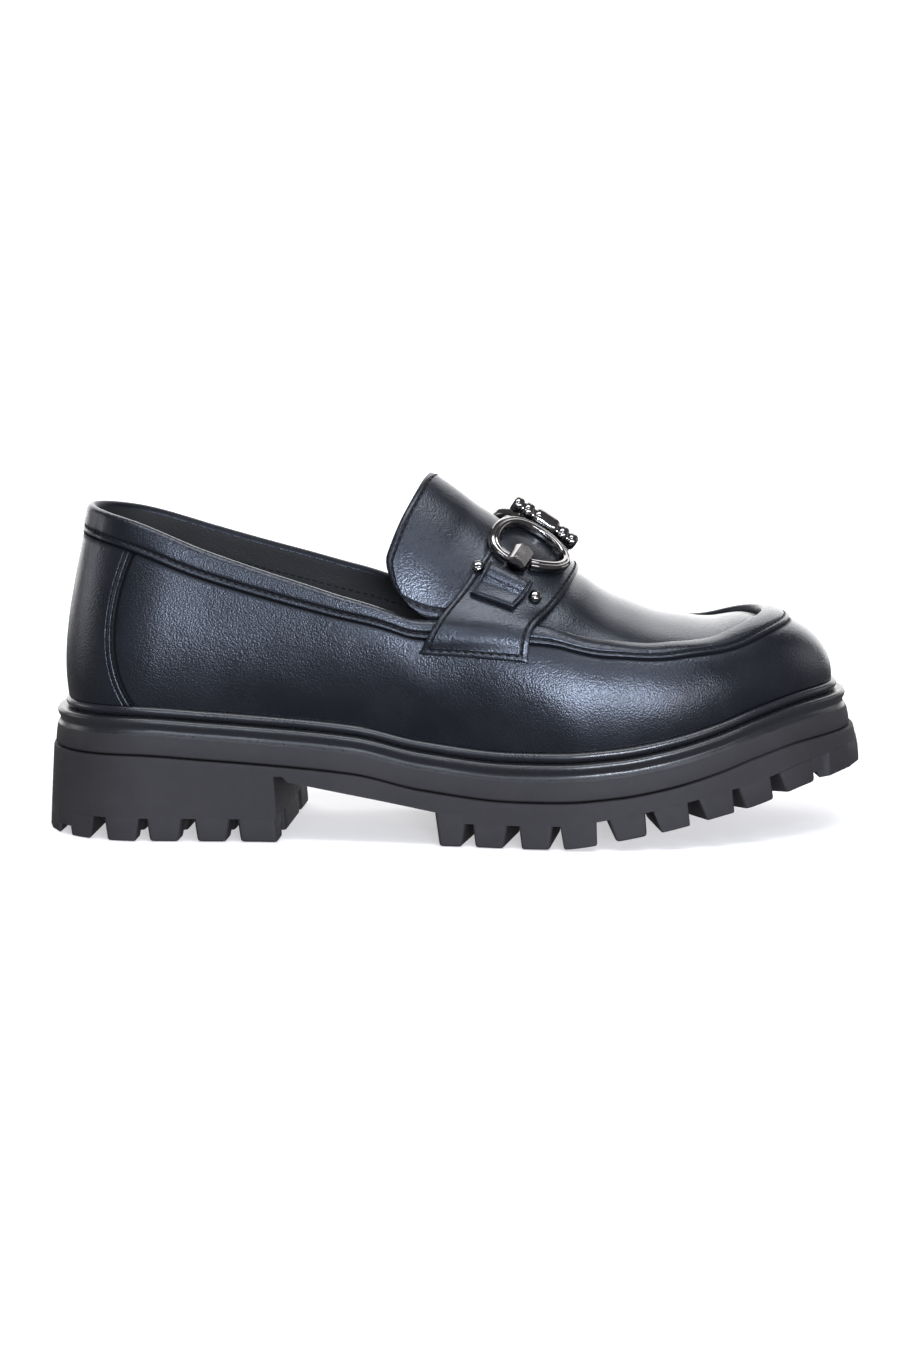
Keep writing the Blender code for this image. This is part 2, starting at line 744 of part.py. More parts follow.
def edge_ring(depth, height, steps=SIDE_STEPS):
    """A ring at a depth inside the midsole's top edge and a height over its top."""
    ring = []
    for i in range(2 * steps):
        w = i / (2 * steps)
        (x, y), _ = plan_point(w, edge_inset(w) + depth)
        ring.append((x, y, midsole_top(x) + height))
    return ring


WELT_INNER = UPPER_INSET + UPPER_WALL + GAP


def build_welt():
    """A rolled strip on the midsole's edge, with the upper standing on its inner half."""
    low, high = GAP, GAP + WELT_HEIGHT
    outline = [
        (WELT_INNER, low),
        (WELT_MARGIN + WELT_PROUD * 0.30, low),
        (WELT_MARGIN, mix(low, high, 0.30)),
        (WELT_MARGIN, mix(low, high, 0.68)),
        (WELT_MARGIN + WELT_PROUD * 0.38, mix(low, high, 0.95)),
        (UPPER_INSET - GAP, high),
        (WELT_INNER, high),
    ]
    count = 2 * SIDE_STEPS
    vertices = [p for depth, height in outline for p in edge_ring(depth, height)]
    faces = []
    for level in range(len(outline)):
        faces += ring_faces(level * count, ((level + 1) % len(outline)) * count, count)
    return add_object("welt", vertices, faces, "welt_rubber")


def build_insole():
    depth = WELT_INNER + GAP
    rings = [
        edge_ring(depth, GAP),
        edge_ring(depth, INSOLE_THICKNESS * 0.8),
        edge_ring(depth + INSOLE_THICKNESS * 0.3, INSOLE_THICKNESS),
    ]
    return lofted_slab("insole", rings, "insole_lining")


def loop_places():
    """Places of the upper's sections round the loop, with a close pair at each counter seam."""
    step = 0.5 / SIDE_STEPS
    half = [i * step for i in range(SIDE_STEPS + 1)]
    nearest = min(range(len(half)), key=lambda i: abs(half[i] - COUNTER_SEAM))
    half[nearest] = COUNTER_SEAM - COUNTER_STEP
    half.insert(nearest + 1, COUNTER_SEAM + COUNTER_STEP)
    throat = min(range(len(half)), key=lambda i: abs(along_of(half[i])[0] - THROAT))
    half[throat] = math.acos(1 - 2 * THROAT) / (2 * math.pi)
    return half, throat


def section_places(w):
    """Heights of the rows of the wall at w, each with the band's lift there."""
    band = 1 - BAND_WIDTH * WALL.at("band", along_of(w)[0]) / wall_length(w)
    edge = STEP_RUN / wall_length(w)
    rows = [(v * (band - edge), 0.0) for v in np.linspace(0, 1, WALL_STEPS - 2)]
    rows += [(band + edge, BAND_LIFT), (mix(band, 1, 0.55), BAND_LIFT), (mix(band, 1, 0.93), BAND_LIFT * 0.9)]
    return rows


def outer_wall(w, in_front):
    """Points up the outside of the wall, over the band and down to the apron's edge or over the collar."""
    near = min(w % 1.0, 1 - w % 1.0)
    points = []
    for v, lift in section_places(w):
        counter = COUNTER_LIFT if near < COUNTER_SEAM and lift == 0 else 0
        points.append(wall_point(w, v) + wall_normal(w, v) * (lift + counter))
    top = wall_point(w, 1)
    if in_front:
        along, side = along_of(w)
        start = apron_curve(along)[0 if side < 0 else 1][0]
        points.append(mix(points[-1], top, 0.8))
        points.append(start)
    else:
        points.append(top)
        points.append(top - wall_normal(w, 1) * UPPER_WALL * 0.5 - np.array([0, 0, STEP_RUN / 2]))
    return points


def inner_wall(w, in_front):
    """Points up the inside of the wall, smooth, a wall's thickness in."""
    top = 1 - 1.2 * UPPER_WALL / wall_length(w) if in_front else 1 - STEP_RUN / wall_length(w)
    rows = np.linspace(0, top, WALL_STEPS - 1)
    points = [wall_point(w, v) - wall_normal(w, v) * UPPER_WALL for v in rows]
    if in_front:
        points[-1] = points[-1] - wall_normal(w, top) * APRON_DROP * 0.5
    return points


def apron_normal(along, q):
    step = 0.004
    across = apron_point(along, min(1, q + step)) - apron_point(along, max(-1, q - step))
    forward = apron_point(min(1, along + step), q) - apron_point(along - step, q)
    normal = np.cross(forward, across)
    return normal / np.linalg.norm(normal)


def apron_row(along, depth):
    """Points across the apron, without its ends, at a depth under its outside."""
    shares = np.linspace(-1, 1, APRON_STEPS + 1)[1:-1]
    return [apron_point(along, q) - apron_normal(along, q) * depth for q in shares]


def build_upper():
    half, throat = loop_places()
    loop = half + [1 - w for w in half[-2:0:-1]]
    count, tip = len(loop), len(half) - 1
    front = [throat <= i <= count - throat for i in range(count)]
    outer = [outer_wall(w, front[i]) for i, w in enumerate(loop)]
    inner = [inner_wall(w, front[i]) for i, w in enumerate(loop)]
    vertices, faces = [], []

    def store(points):
        first = len(vertices)
        vertices.extend(points)
        return list(range(first, first + len(points)))

    outside = [store(points) for points in outer]
    inside = [store(points) for points in inner]
    for columns in (outside, inside):
        for i in range(count):
            here, there = columns[i], columns[(i + 1) % count]
            faces += [(here[j], there[j], there[j + 1], here[j + 1]) for j in range(len(here) - 1)]
    crossings = []
    for columns, depth in ((outside, 0.0), (inside, UPPER_WALL)):
        rows = []
        for i in range(throat, tip):
            between = store(apron_row(along_of(half[i])[0], depth))
            rows.append([columns[i][-1], *between, columns[count - i][-1]])
        for near, far in zip(rows, rows[1:]):
            faces += [(near[k], near[k + 1], far[k + 1], far[k]) for k in range(APRON_STEPS)]
        faces += [(rows[-1][k], rows[-1][k + 1], columns[tip][-1]) for k in range(APRON_STEPS)]
        crossings.append(rows[0])
    for i in range(count):
        j = (i + 1) % count
        faces.append((outside[i][0], outside[j][0], inside[j][0], inside[i][0]))
        if not (front[i] and front[j]):
            faces.append((outside[i][-1], outside[j][-1], inside[j][-1], inside[i][-1]))
    faces += [
        (crossings[0][k], crossings[0][k + 1], crossings[1][k + 1], crossings[1][k]) for k in range(APRON_STEPS)
    ]
    return add_object("upper", vertices, faces, "upper_leather")


def place_on_loop(along, side):
    """The place round the loop for a place from heel 0 to toe 1 on one side."""
    half = math.acos(1 - 2 * along) / (2 * math.pi)
    return half if side < 0 else 1 - half


def grid_solid(name, outer, inner, slot):
    """A closed sheet between two grids of points of the same size."""
    rows, columns = len(outer), len(outer[0])
    vertices = [p for row in outer for p in row] + [p for row in inner for p in row]
    under = rows * columns
    faces = []
    for i in range(rows - 1):
        for j in range(columns - 1):
            a, b = i * columns + j, (i + 1) * columns + j
            faces.append((a, a + 1, b + 1, b))
            faces.append((under + a, under + a + 1, under + b + 1, under + b))
    edge = [(0, j) for j in range(columns)] + [(i, columns - 1) for i in range(1, rows)]
    edge += [(rows - 1, j) for j in range(columns - 2, -1, -1)] + [(i, 0) for i in range(rows - 2, 0, -1)]
    ids = [i * columns + j for i, j in edge]
    for a, b in zip(ids, ids[1:] + ids[:1]):
        faces.append((a, b, under + b, under + a))
    return add_object(name, vertices, faces, slot)


def tongue_grid(depth):
    """Rows from the throat up to the tongue's free edge."""
    rows = []
    for share in np.linspace(0, 1, TONGUE_STEPS + 1):
        row = []
        for p in np.linspace(-1, 1, APRON_STEPS + 1):
            reach = THROAT - TONGUE_TOP
            top = TONGUE_TOP + reach * TONGUE.at("lateral" if p < 0 else "medial", abs(p))
            along = mix(THROAT, top, share)
            q = p * TONGUE_REACH
            normal = apron_normal(along, q)
            wing = TONGUE_TUCK * abs(p) ** 5
            point = apron_point(along, q) - normal * (depth + wing)
            back = np.array([-GAP * (1 - share), 0, 0])
            row.append(point + back)
        rows.append(row)
    return rows


def build_tongue():
    return grid_solid("tongue", tongue_grid(0), tongue_grid(UPPER_WALL), "tongue_leather")


def strap_path(along):
    """Points under the strap from its lateral end over the foot to its medial end."""
    share = (along - STRAP_REAR) / (STRAP_FRONT - STRAP_REAR)
    lowest = mix(STRAP_DROP_REAR, STRAP_DROP_FRONT, share)
    sweep = mix(STRAP_SWEEP_REAR, STRAP_SWEEP_FRONT, share)
    points = []
    for side in (-1, 1):
        wing = []
        for drop in np.linspace(lowest, BAND_LIFT * 2, 12):
            w = place_on_loop(along - sweep * drop / lowest, side)
            length = wall_length(w)
            v = 1 - drop / length
            past_band = drop - BAND_WIDTH * WALL.at("band", along) - 2 * STEP_RUN
            on_band = min(1, max(0, 1 - past_band / (2 * STEP_RUN)))
            lift = 2 * GAP + BAND_LIFT * on_band
            wing.append(wall_point(w, v) + wall_normal(w, v) * lift)
        w = place_on_loop(along, side)
        lean = wall_normal(w, 1) + apron_normal(along, side * 0.93)
        over = rim_point(w) + lean / np.linalg.norm(lean) * (BAND_LIFT + 5 * GAP)
        wing.append(over)
        for q in side * np.linspace(0.82, 0, 21):
            wing.append(apron_point(along, q) + apron_normal(along, q) * 2 * GAP)
        points.append(wing)
    lateral, medial = points
    return lateral + medial[-2::-1]


def smoothed(path, passes=3):
    path = np.array(path)
    for _ in range(passes):
        path[1:-1] = path[1:-1] * 0.5 + (path[:-2] + path[2:]) * 0.25
    return path


class StrapSheet:
    """The strap's underside as a grid, read by place along the rim and by distance from the crest."""

    def __init__(self):
        self.places = np.linspace(STRAP_REAR, STRAP_FRONT, 13)
        self.distances = np.linspace(-1, 1, 81)
        rows = []
        halves = []
        for along in self.places:
            path = smoothed(strap_path(along))
            run = np.concatenate([[0], np.cumsum(np.linalg.norm(np.diff(path, axis=0), axis=1))])
            middle = run[len(path) // 2]
            ends = np.where(self.distances < 0, middle, run[-1] - middle)
            at = middle + self.distances * ends
            rows.append(np.stack([np.interp(at, run, path[:, k]) for k in range(3)], 1))
            halves.append((middle, run[-1] - middle))
        self.grid = np.array(rows)
        self.halves = np.array(halves)

    def half(self, along, side):
        return float(np.interp(along, self.places, self.halves[:, 0 if side < 0 else 1]))

    def point(self, along, share):
        i = (along - self.places[0]) / (self.places[1] - self.places[0])
        j = (share + 1) / 2 * (len(self.distances) - 1)
        i0 = int(min(max(i, 0), len(self.places) - 2))
        j0 = int(min(max(j, 0), len(self.distances) - 2))
        s, t = i - i0, j - j0
        near = mix(self.grid[i0, j0], self.grid[i0, j0 + 1], t)
        far = mix(self.grid[i0 + 1, j0], self.grid[i0 + 1, j0 + 1], t)
        return mix(near, far, s)

    def normal(self, along, share):
        forward = self.point(along + 0.006, share) - self.point(along - 0.006, share)
        across = self.point(along, min(1, share + 0.04)) - self.point(along, max(-1, share - 0.04))
        normal = np.cross(forward, across)
        return normal / np.linalg.norm(normal)

    def lifted(self, along, share, lift):
        return self.point(along, share) + self.normal(along, share) * lift

    def place(self, side, forward, outward, lift):
        """A point from the strap's middle: metres forward along the instep and outward from the crest."""
        middle = (STRAP_REAR + STRAP_FRONT) / 2
        share = side * outward / self.half(middle, side)
        step = 0.01
        rate = np.linalg.norm(self.point(middle + step, share) - self.point(middle - step, share)) / (2 * step)
        return self.lifted(middle + forward / rate, share, STRAP_WALL + lift)


def build_strap(sheet):
    grids = []
    for lift in (STRAP_WALL, 0):
        grid = []
        for along in np.linspace(STRAP_REAR, STRAP_FRONT, STRAP_ROWS + 1):
            shares = np.linspace(-1, 1, STRAP_STEPS + 1)
            grid.append([sheet.lifted(along, share, lift) for share in shares])
        grids.append(grid)
    return grid_solid("saddle_strap", grids[0], grids[1], "strap_leather")


def keeper_place(sheet, side, forward, outward, lift):
    """A point of a keeper: metres forward from its middle line and outward from its upper end."""
    return sheet.place(
        side,
        BIT_SHIFT + forward + (outward - KEEPER_LENGTH / 4) * KEEPER_LEAN,
        KEEPER_START + outward + forward * KEEPER_TURN,
        lift,
    )


def build_keeper(sheet, name, side):
    top, under = [], []
    for share in FOLD.along:
        forwards = np.linspace(-KEEPER_WIDTH / 2, KEEPER_WIDTH / 2, 5)
        height = KEEPER_HEIGHT * FOLD.at("height", share)
        outward = share * KEEPER_LENGTH
        top.append([keeper_place(sheet, side, forward, outward, height) for forward in forwards])
        under.append([keeper_place(sheet, side, forward, outward, GAP) for forward in forwards])
    return grid_solid(f"keeper_{name}", top, under, "strap_leather")


def turned(name, start, axis, profile, slot, steps=ROUND_STEPS, turn=0.0):
    """A solid of revolution: profile holds (distance along the axis, radius) from one end to the other."""
    axis = Vector(axis).normalized()
    side = axis.orthogonal().normalized()
    other = axis.cross(side)
    sections = []
    for distance, radius in profile:
        section = []
        for i in range(steps):
            angle = 2 * math.pi * i / steps + turn
            spoke = side * math.cos(angle) + other * math.sin(angle)
            section.append(np.array(Vector(start) + axis * distance + spoke * radius))
        sections.append(section)
    return prism(name, sections, slot)


def build_studs(sheet, name, side):
    outward = KEEPER_LENGTH / 4
    for end, sign in (("rear", -1), ("front", 1)):
        forward = sign * (KEEPER_WIDTH / 2 + STUD_RADIUS + GAP * 2)
        base = keeper_place(sheet, side, forward, outward, GAP * 2)
        tip = keeper_place(sheet, side, forward, outward, STUD_HEIGHT)
        profile = [
            (0, STUD_RADIUS * 0.92),
            (STUD_HEIGHT * 0.45, STUD_RADIUS),
            (STUD_HEIGHT * 0.80, STUD_RADIUS * 0.86),
            (STUD_HEIGHT, STUD_RADIUS * 0.50),
        ]
        turned(f"stud_{name}_{end}", base, tip - base, profile, "gunmetal", 2 * ROUND_STEPS)


def build_ring(sheet, name, side):
    """A ring of round wire that follows the strap, open where its knob sits."""
    middle = RING_START + RING_WIDTH / 2
    radius = RING_WIRE / 2
    opening = math.asin((KNOB_RADIUS + 2 * GAP) / ((RING_LENGTH - RING_WIRE) / 2))
    centres, ups = [], []
    for turn in np.linspace(opening, 2 * math.pi - opening, RING_STEPS + 1):
        forward = BIT_SHIFT + math.sin(turn) * (RING_LENGTH - RING_WIRE) / 2
        outward = middle + math.cos(turn) * (RING_WIDTH - RING_WIRE) / 2
        centre = sheet.place(side, forward, outward, radius + GAP)
        up = centre - sheet.place(side, forward, outward, 0)
        centres.append(centre)
        ups.append(up / np.linalg.norm(up))
    sections = []
    for i, (centre, up) in enumerate(zip(centres, ups)):
        tangent = centres[min(i + 1, RING_STEPS)] - centres[max(i - 1, 0)]
        out = np.cross(tangent, up)
        out /= np.linalg.norm(out)
        section = []
        for k in range(ROUND_STEPS):
            angle = 2 * math.pi * (k + 0.5) / ROUND_STEPS
            section.append(centre + (up * math.cos(angle) + out * math.sin(angle)) * radius)
        sections.append(section)
    return prism(f"ring_{name}", sections, "gunmetal")


def build_knob(sheet, name, side):
    lift = KNOB_RADIUS + GAP * 2
    start = sheet.place(side, BIT_SHIFT, KNOB_START, lift)
    end = sheet.place(side, BIT_SHIFT, KNOB_START + KNOB_LENGTH, lift)
    length = np.linalg.norm(end - start)
    profile = [
        (0, KNOB_RADIUS * 0.72),
        (length * 0.18, KNOB_RADIUS),
        (length * 0.82, KNOB_RADIUS),
        (length, KNOB_RADIUS * 0.72),
    ]
    return turned(f"knob_{name}", start, end - start, profile, "gunmetal")


def build_bridge(sheet):
    lift = BARREL_RADIUS + 4 * GAP
    ends = [sheet.place(-1, BIT_SHIFT + sign * BRIDGE_LENGTH / 2, 0, lift) for sign in (-1, 1)]
    length = np.linalg.norm(ends[1] - ends[0])
    profile = [(length * share, BARREL_RADIUS * BRIDGE.at("radius", share)) for share in BRIDGE.along]
    return turned("bridge", ends[0], ends[1] - ends[0], profile, "gunmetal", 2 * ROUND_STEPS)


def main():
    for obj in list(bpy.data.objects):
        bpy.data.objects.remove(obj)
    build_outsole()
    build_midsole()
    build_welt()
    build_insole()
    build_upper()
    build_tongue()
    sheet = StrapSheet()
    build_strap(sheet)
    build_bridge(sheet)
    for name, side in SIDES:
        build_ring(sheet, name, side)
        build_knob(sheet, name, side)
        build_keeper(sheet, name, side)
        build_studs(sheet, name, side)


main()
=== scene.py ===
"""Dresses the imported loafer: leather, lining, stitching, lugged rubber sole and a plain metal bit.

Everything is in metres, in the frame's own axes: +X to the toe, +Y to the inner side, +Z up.
"""

import math

import bmesh
import bpy
import numpy as np
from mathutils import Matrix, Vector


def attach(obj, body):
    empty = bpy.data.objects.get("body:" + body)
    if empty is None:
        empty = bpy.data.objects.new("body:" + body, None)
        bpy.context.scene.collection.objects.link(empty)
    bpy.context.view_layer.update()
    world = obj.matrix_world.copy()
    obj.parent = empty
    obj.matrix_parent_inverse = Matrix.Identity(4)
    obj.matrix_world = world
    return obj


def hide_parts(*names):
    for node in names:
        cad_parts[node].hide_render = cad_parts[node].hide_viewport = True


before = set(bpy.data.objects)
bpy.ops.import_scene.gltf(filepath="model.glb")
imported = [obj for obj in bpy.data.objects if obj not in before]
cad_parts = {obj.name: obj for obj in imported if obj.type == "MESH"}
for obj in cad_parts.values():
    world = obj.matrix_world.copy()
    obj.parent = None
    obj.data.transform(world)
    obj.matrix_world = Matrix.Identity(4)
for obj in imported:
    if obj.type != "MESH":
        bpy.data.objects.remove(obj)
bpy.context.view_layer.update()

# Sizes of the shoe
SOLE_LENGTH = 0.278
BALL_WIDTH = 0.102
HEEL_STACK = 0.0415
FORE_STACK = 0.0277
TOE_RISE = 0.0188
TOE_SPRING = 0.0220
BACK_HEIGHT = 0.0645
TOE_BOX_HEIGHT = 0.027
INSTEP_RISE = 0.0225
INSTEP_LEAN = 0.018
GAP = 0.0003
MM = 0.001

MIDSOLE_HEIGHT = 0.012
NOTCH_HEIGHT = 0.0012
NOTCH_DEPTH = 0.0012
LIP_HEIGHT = 0.0014
COVE_DEPTH = 0.0007
SOLE_FLARE = 0.0041
LUG_DEPTH = 0.0078
LUG_GAP_NARROW = 0.0024
LUG_GAP_WIDE = 0.0039
LUG_GAP_SPREAD = 0.0024
LUG_PITCH = 0.0147
HEEL_PITCH = 0.0153
END_GAP_DEPTH = 0.40
LUG_ROUND = 0.0015
HEEL_FIRST_GAP = 0.88
HEEL_LAST_PITCH = 0.85
FORE_FIRST_GAP = 0.82
FILL_LAP = 0.0012  # how far the floor of a shallow end gap runs into the lugs beside it
CHANNEL_WIDTH = 0.0055
CHANNEL_OFFSET = 0.017
HEEL_CHANNEL_WIDTH = 0.010
HEEL_CHANNEL_OFFSET = 0.021
FAN_START = CHANNEL_OFFSET + CHANNEL_WIDTH / 2
FAN_LIMIT = 0.40
SLOPE_STEP = 0.004
HEEL_LENGTH = 0.0818
BREAST_SKEW = 0.0078
BREAST_LEAN = 0.0016
ARCH_REAR = 0.0205
ARCH_FRONT = 0.0113
ARCH_END = 0.132

WELT_HEIGHT = 0.0032
WELT_MARGIN = 0.0026
WELT_PROUD = 0.0018
UPPER_WALL = 0.0022
INSOLE_THICKNESS = 0.0058
COLLAR_LEAN = 0.0075
RIM_SETBACK = 0.0245
BAND_WIDTH = 0.0098
BAND_LIFT = 0.0012
COUNTER_LIFT = 0.0009
COUNTER_SEAM = 0.102
COUNTER_BOW = 0.018
COUNTER_TILT = 0.0042
COUNTER_REACH = 0.09
APRON_DROP = 0.0021
APRON_TUCK = 0.0011
THROAT = 0.588

TONGUE_TOP = 0.400
TONGUE_REACH = 0.96
TONGUE_TUCK = 0.0024
STRAP_WALL = 0.0020
STRAP_REAR = 0.519
STRAP_FRONT = 0.658
STRAP_DROP_REAR = 0.0122
STRAP_DROP_FRONT = 0.0160
STRAP_SWEEP_REAR = 0.036
STRAP_SWEEP_FRONT = 0.029
KEEPER_LENGTH = 0.0128
KEEPER_TURN = 0.24
KEEPER_LEAN = 0.05
KEEPER_WIDTH = 0.0166
KEEPER_HEIGHT = 0.0044
RING_LENGTH = 0.0285
RING_WIDTH = 0.0220
RING_WIRE = 0.0034
BIT_SHIFT = -0.0035
KNOB_RADIUS = 0.0037
KNOB_LENGTH = 0.0070
BRIDGE_LENGTH = 0.0245
BARREL_RADIUS = 0.0037
STUD_RADIUS = 0.0022
STUD_HEIGHT = 0.0019
RING_START = BARREL_RADIUS
KNOB_START = RING_START + RING_WIDTH - RING_WIRE / 2 - KNOB_LENGTH / 2
KEEPER_START = KNOB_START + KNOB_LENGTH + 2 * GAP

SIDES = (("lateral", -1), ("medial", 1))


class Table:
    """Rows of shares under named columns, read at any places with a smooth curve through the rows."""

    def __init__(self, names, rows):
        data = np.array(rows, float)
        self.columns = {name: data[:, i] for i, name in enumerate(names)}
        self.along = data[:, 0]

    def at(self, name, along):
        x, y = self.along, self.columns[name]
        steps = np.diff(x)
        slopes = np.diff(y) / steps
        bends = np.zeros(len(x))
        same = slopes[1:] * slopes[:-1] > 0
        before, after = slopes[:-1][same], slopes[1:][same]
        bends[1:-1][same] = 2 * before * after / (before + after)
        bends[0], bends[-1] = slopes[0], slopes[-1]
        along = np.clip(along, x[0], x[-1])
        i = np.clip(np.searchsorted(x, along) - 1, 0, len(x) - 2)
        s = (along - x[i]) / steps[i]
        rise = y[i] * (1 + 2 * s) * (1 - s) ** 2 + y[i + 1] * s * s * (3 - 2 * s)
        turn = bends[i] * s * (1 - s) ** 2 - bends[i + 1] * s * s * (1 - s)
        return rise + turn * steps[i]


PLAN = Table(
    ("along", "centre", "half", "flare"),
    [
        (0.00, 0.020, 0.362, 0.80),
        (0.10, 0.020, 0.362, 0.80),
        (0.25, 0.008, 0.362, 0.85),
        (0.38, -0.020, 0.365, 0.95),
        (0.48, -0.034, 0.388, 1.00),
        (0.58, -0.029, 0.446, 1.00),
        (0.66, -0.010, 0.490, 1.00),
        (0.74, 0.005, 0.495, 1.05),
        (0.84, 0.034, 0.466, 1.15),
        (0.92, 0.058, 0.420, 1.30),
        (1.00, 0.078, 0.375, 1.40),
    ],
)
HEEL_ROUND, HEEL_POWER = 0.135, 2.2
TOE_ROUND, TOE_POWER = 0.25, 2.35

SIDE = Table(
    ("along", "heel", "rise", "spring"),
    [
        (0.000, 0.975, 0.00, 0.000),
        (0.104, 0.990, 0.00, 0.000),
        (0.198, 0.875, 0.00, 0.000),
        (0.252, 0.797, 0.00, 0.000),
        (0.374, 0.580, 0.00, 0.000),
        (0.457, 0.225, 0.00, 0.000),
        (0.558, 0.010, 0.00, 0.000),
        (0.622, 0.000, 0.015, 0.012),
        (0.694, 0.000, 0.10, 0.140),
        (0.754, 0.000, 0.26, 0.295),
        (0.815, 0.000, 0.49, 0.470),
        (0.860, 0.000, 0.70, 0.590),
        (0.928, 0.000, 0.92, 0.830),
        (1.000, 0.000, 1.00, 1.000),
    ],
)

RIM = Table(
    ("along", "centre", "half", "back", "toe", "medial"),
    [
        (0.000, 0.020, 0.240, 1.010, 0.00, 0.000),
        (0.070, 0.020, 0.240, 0.950, 0.00, 0.008),
        (0.167, 0.014, 0.252, 0.838, 0.00, 0.040),
        (0.225, 0.008, 0.262, 0.782, 0.00, 0.050),
        (0.316, -0.004, 0.278, 0.707, 0.00, 0.062),
        (0.388, -0.012, 0.292, 0.655, 0.00, 0.067),
        (0.460, -0.016, 0.305, 0.628, 0.00, 0.064),
        (0.550, -0.015, 0.320, 0.460, 0.46, 0.045),
        (0.620, -0.010, 0.332, 0.260, 0.94, 0.028),
        (0.695, 0.000, 0.340, 0.110, 1.19, 0.014),
        (0.754, 0.010, 0.343, 0.040, 1.20, 0.005),
        (0.842, 0.026, 0.337, 0.000, 1.12, 0.000),
        (0.930, 0.040, 0.325, 0.000, 0.99, 0.000),
        (1.000, 0.048, 0.310, 0.000, 1.00, 0.000),
    ],
)
COLLAR_ROUND, COLLAR_POWER = 0.13, 2.1
APRON_ROUND, APRON_POWER = 0.22, 2.3

WALL = Table(
    ("along", "low_out", "low_up", "high_out", "high_down", "band"),
    [
        (0.00, 0.032, 0.32, 0.032, 0.33, 1.00),
        (0.12, 0.036, 0.32, 0.034, 0.33, 1.00),
        (0.30, 0.042, 0.33, 0.028, 0.33, 0.88),
        (0.48, 0.040, 0.35, 0.040, 0.32, 0.70),
        (0.62, 0.036, 0.38, 0.062, 0.27, 0.80),
        (0.74, 0.030, 0.42, 0.078, 0.21, 0.92),
        (0.86, 0.022, 0.50, 0.096, 0.13, 1.00),
        (1.00, 0.006, 0.56, 0.118, 0.06, 1.00),
    ],
)

CREST = Table(
    ("along", "rise", "lean"),
    [
        (0.400, 1.790, 1.33),
        (0.480, 1.500, 1.29),
        (0.521, 1.290, 1.20),
        (0.588, 1.000, 1.00),
        (0.661, 0.610, 0.79),
        (0.718, 0.500, 0.56),
        (0.784, 0.360, 0.42),
        (0.850, 0.240, 0.28),
        (0.916, 0.140, 0.11),
        (0.965, 0.050, 0.03),
        (1.000, -0.090, 0.00),
    ],
)

TONGUE = Table(
    ("across", "lateral", "medial"),
    [
        (0.00, 0.00, 0.00),
        (0.25, -0.03, 0.05),
        (0.50, -0.035, 0.09),
        (0.76, 0.00, 0.13),
        (0.88, 0.13, 0.22),
        (0.95, 0.30, 0.36),
        (1.00, 0.52, 0.54),
    ],
)

TURN = Table(
    ("along", "turn"),
    [
        (0.48, 0.025),
        (0.62, 0.025),
        (0.70, -0.030),
        (0.78, -0.060),
        (1.00, -0.090),
    ],
)

# Shallow creases in the leather: place round the loop, height up the wall, their spreads, and depth in mm.
CREASES = (
    (0.052, 0.86, 0.010, 0.10, 0.30),
    (0.945, 0.84, 0.012, 0.10, 0.30),
    (0.150, 0.62, 0.030, 0.12, 0.14),
    (0.205, 0.30, 0.040, 0.10, 0.10),
    (0.262, 0.52, 0.020, 0.20, 0.10),
    (0.300, 0.40, 0.018, 0.24, 0.08),
    (0.335, 0.48, 0.018, 0.22, 0.08),
    (0.700, 0.50, 0.016, 0.22, 0.16),
    (0.665, 0.44, 0.014, 0.22, 0.12),
    (0.800, 0.55, 0.030, 0.14, 0.14),
    (0.868, 0.40, 0.030, 0.12, 0.12),
)


def mix(a, b, share):
    return a + (b - a) * share


def smooth(value, low, high):
    """0 below low, 1 above high, with a soft climb between."""
    s = np.clip((value - low) / (high - low), 0, 1)
    return s * s * (3 - 2 * s)


def unit(v):
    return v / np.maximum(np.linalg.norm(v, axis=-1, keepdims=True), 1e-12)


def col(values):
    """Values as a column, to multiply points by."""
    return np.asarray(values)[..., None]


def stack(x, y, z):
    x, y, z = np.broadcast_arrays(x, y, z)
    return np.stack([x, y, z], -1)


def rounding(along, round_first, power_first, round_last, power_last):
    """The share of its width that an outline keeps where its two ends are rounded off."""
    first = np.clip((round_first - along) / round_first, 0, 1)
    last = np.clip((along - 1 + round_last) / round_last, 0, 1)
    return (1 - first**power_first) ** (1 / power_first) * (1 - last**power_last) ** (1 / power_last)


def along_of(w):
    """The share of the length and the side at a place w round the loop, 0 at the heel's back."""
    w = np.mod(w, 1.0)
    side = np.where(w <= 0.5, -1, 1)
    turn = np.where(w <= 0.5, w, 1 - w)
    return (1 - np.cos(2 * math.pi * turn)) / 2, side


def place_on_loop(along, side):
    """The place w round the loop for a share of the length and a side."""
    half = np.arccos(1 - 2 * np.asarray(along)) / (2 * math.pi)
    return np.where(np.asarray(side) < 0, half, 1 - half)


def plan_raw(w):
    """The sole's outline in plan, before it is centred."""
    along, side = along_of(w)
    round_off = rounding(along, HEEL_ROUND, HEEL_POWER, TOE_ROUND, TOE_POWER)
    y = BALL_WIDTH * (PLAN.at("centre", along) + side * PLAN.at("half", along) * round_off)
    return np.stack([(along - 0.5) * SOLE_LENGTH, y], -1)


PLAN_SAMPLES = plan_raw(np.arange(400) / 400)[:, 1]
PLAN_SHIFT = (PLAN_SAMPLES.max() + PLAN_SAMPLES.min()) / 2


def plan_point(w, inset):
    """The outline moved inward by an inset, and its outward directions."""
    step = 0.004
    tangent = plan_raw(w + step) - plan_raw(w - step)
    outward = unit(np.stack([tangent[..., 1], -tangent[..., 0]], -1))
    point = plan_raw(w) - outward * col(inset)
    return point - np.array([0, PLAN_SHIFT]), outward


def share_of(x):
    return np.clip(x / SOLE_LENGTH + 0.5, 0, 1)


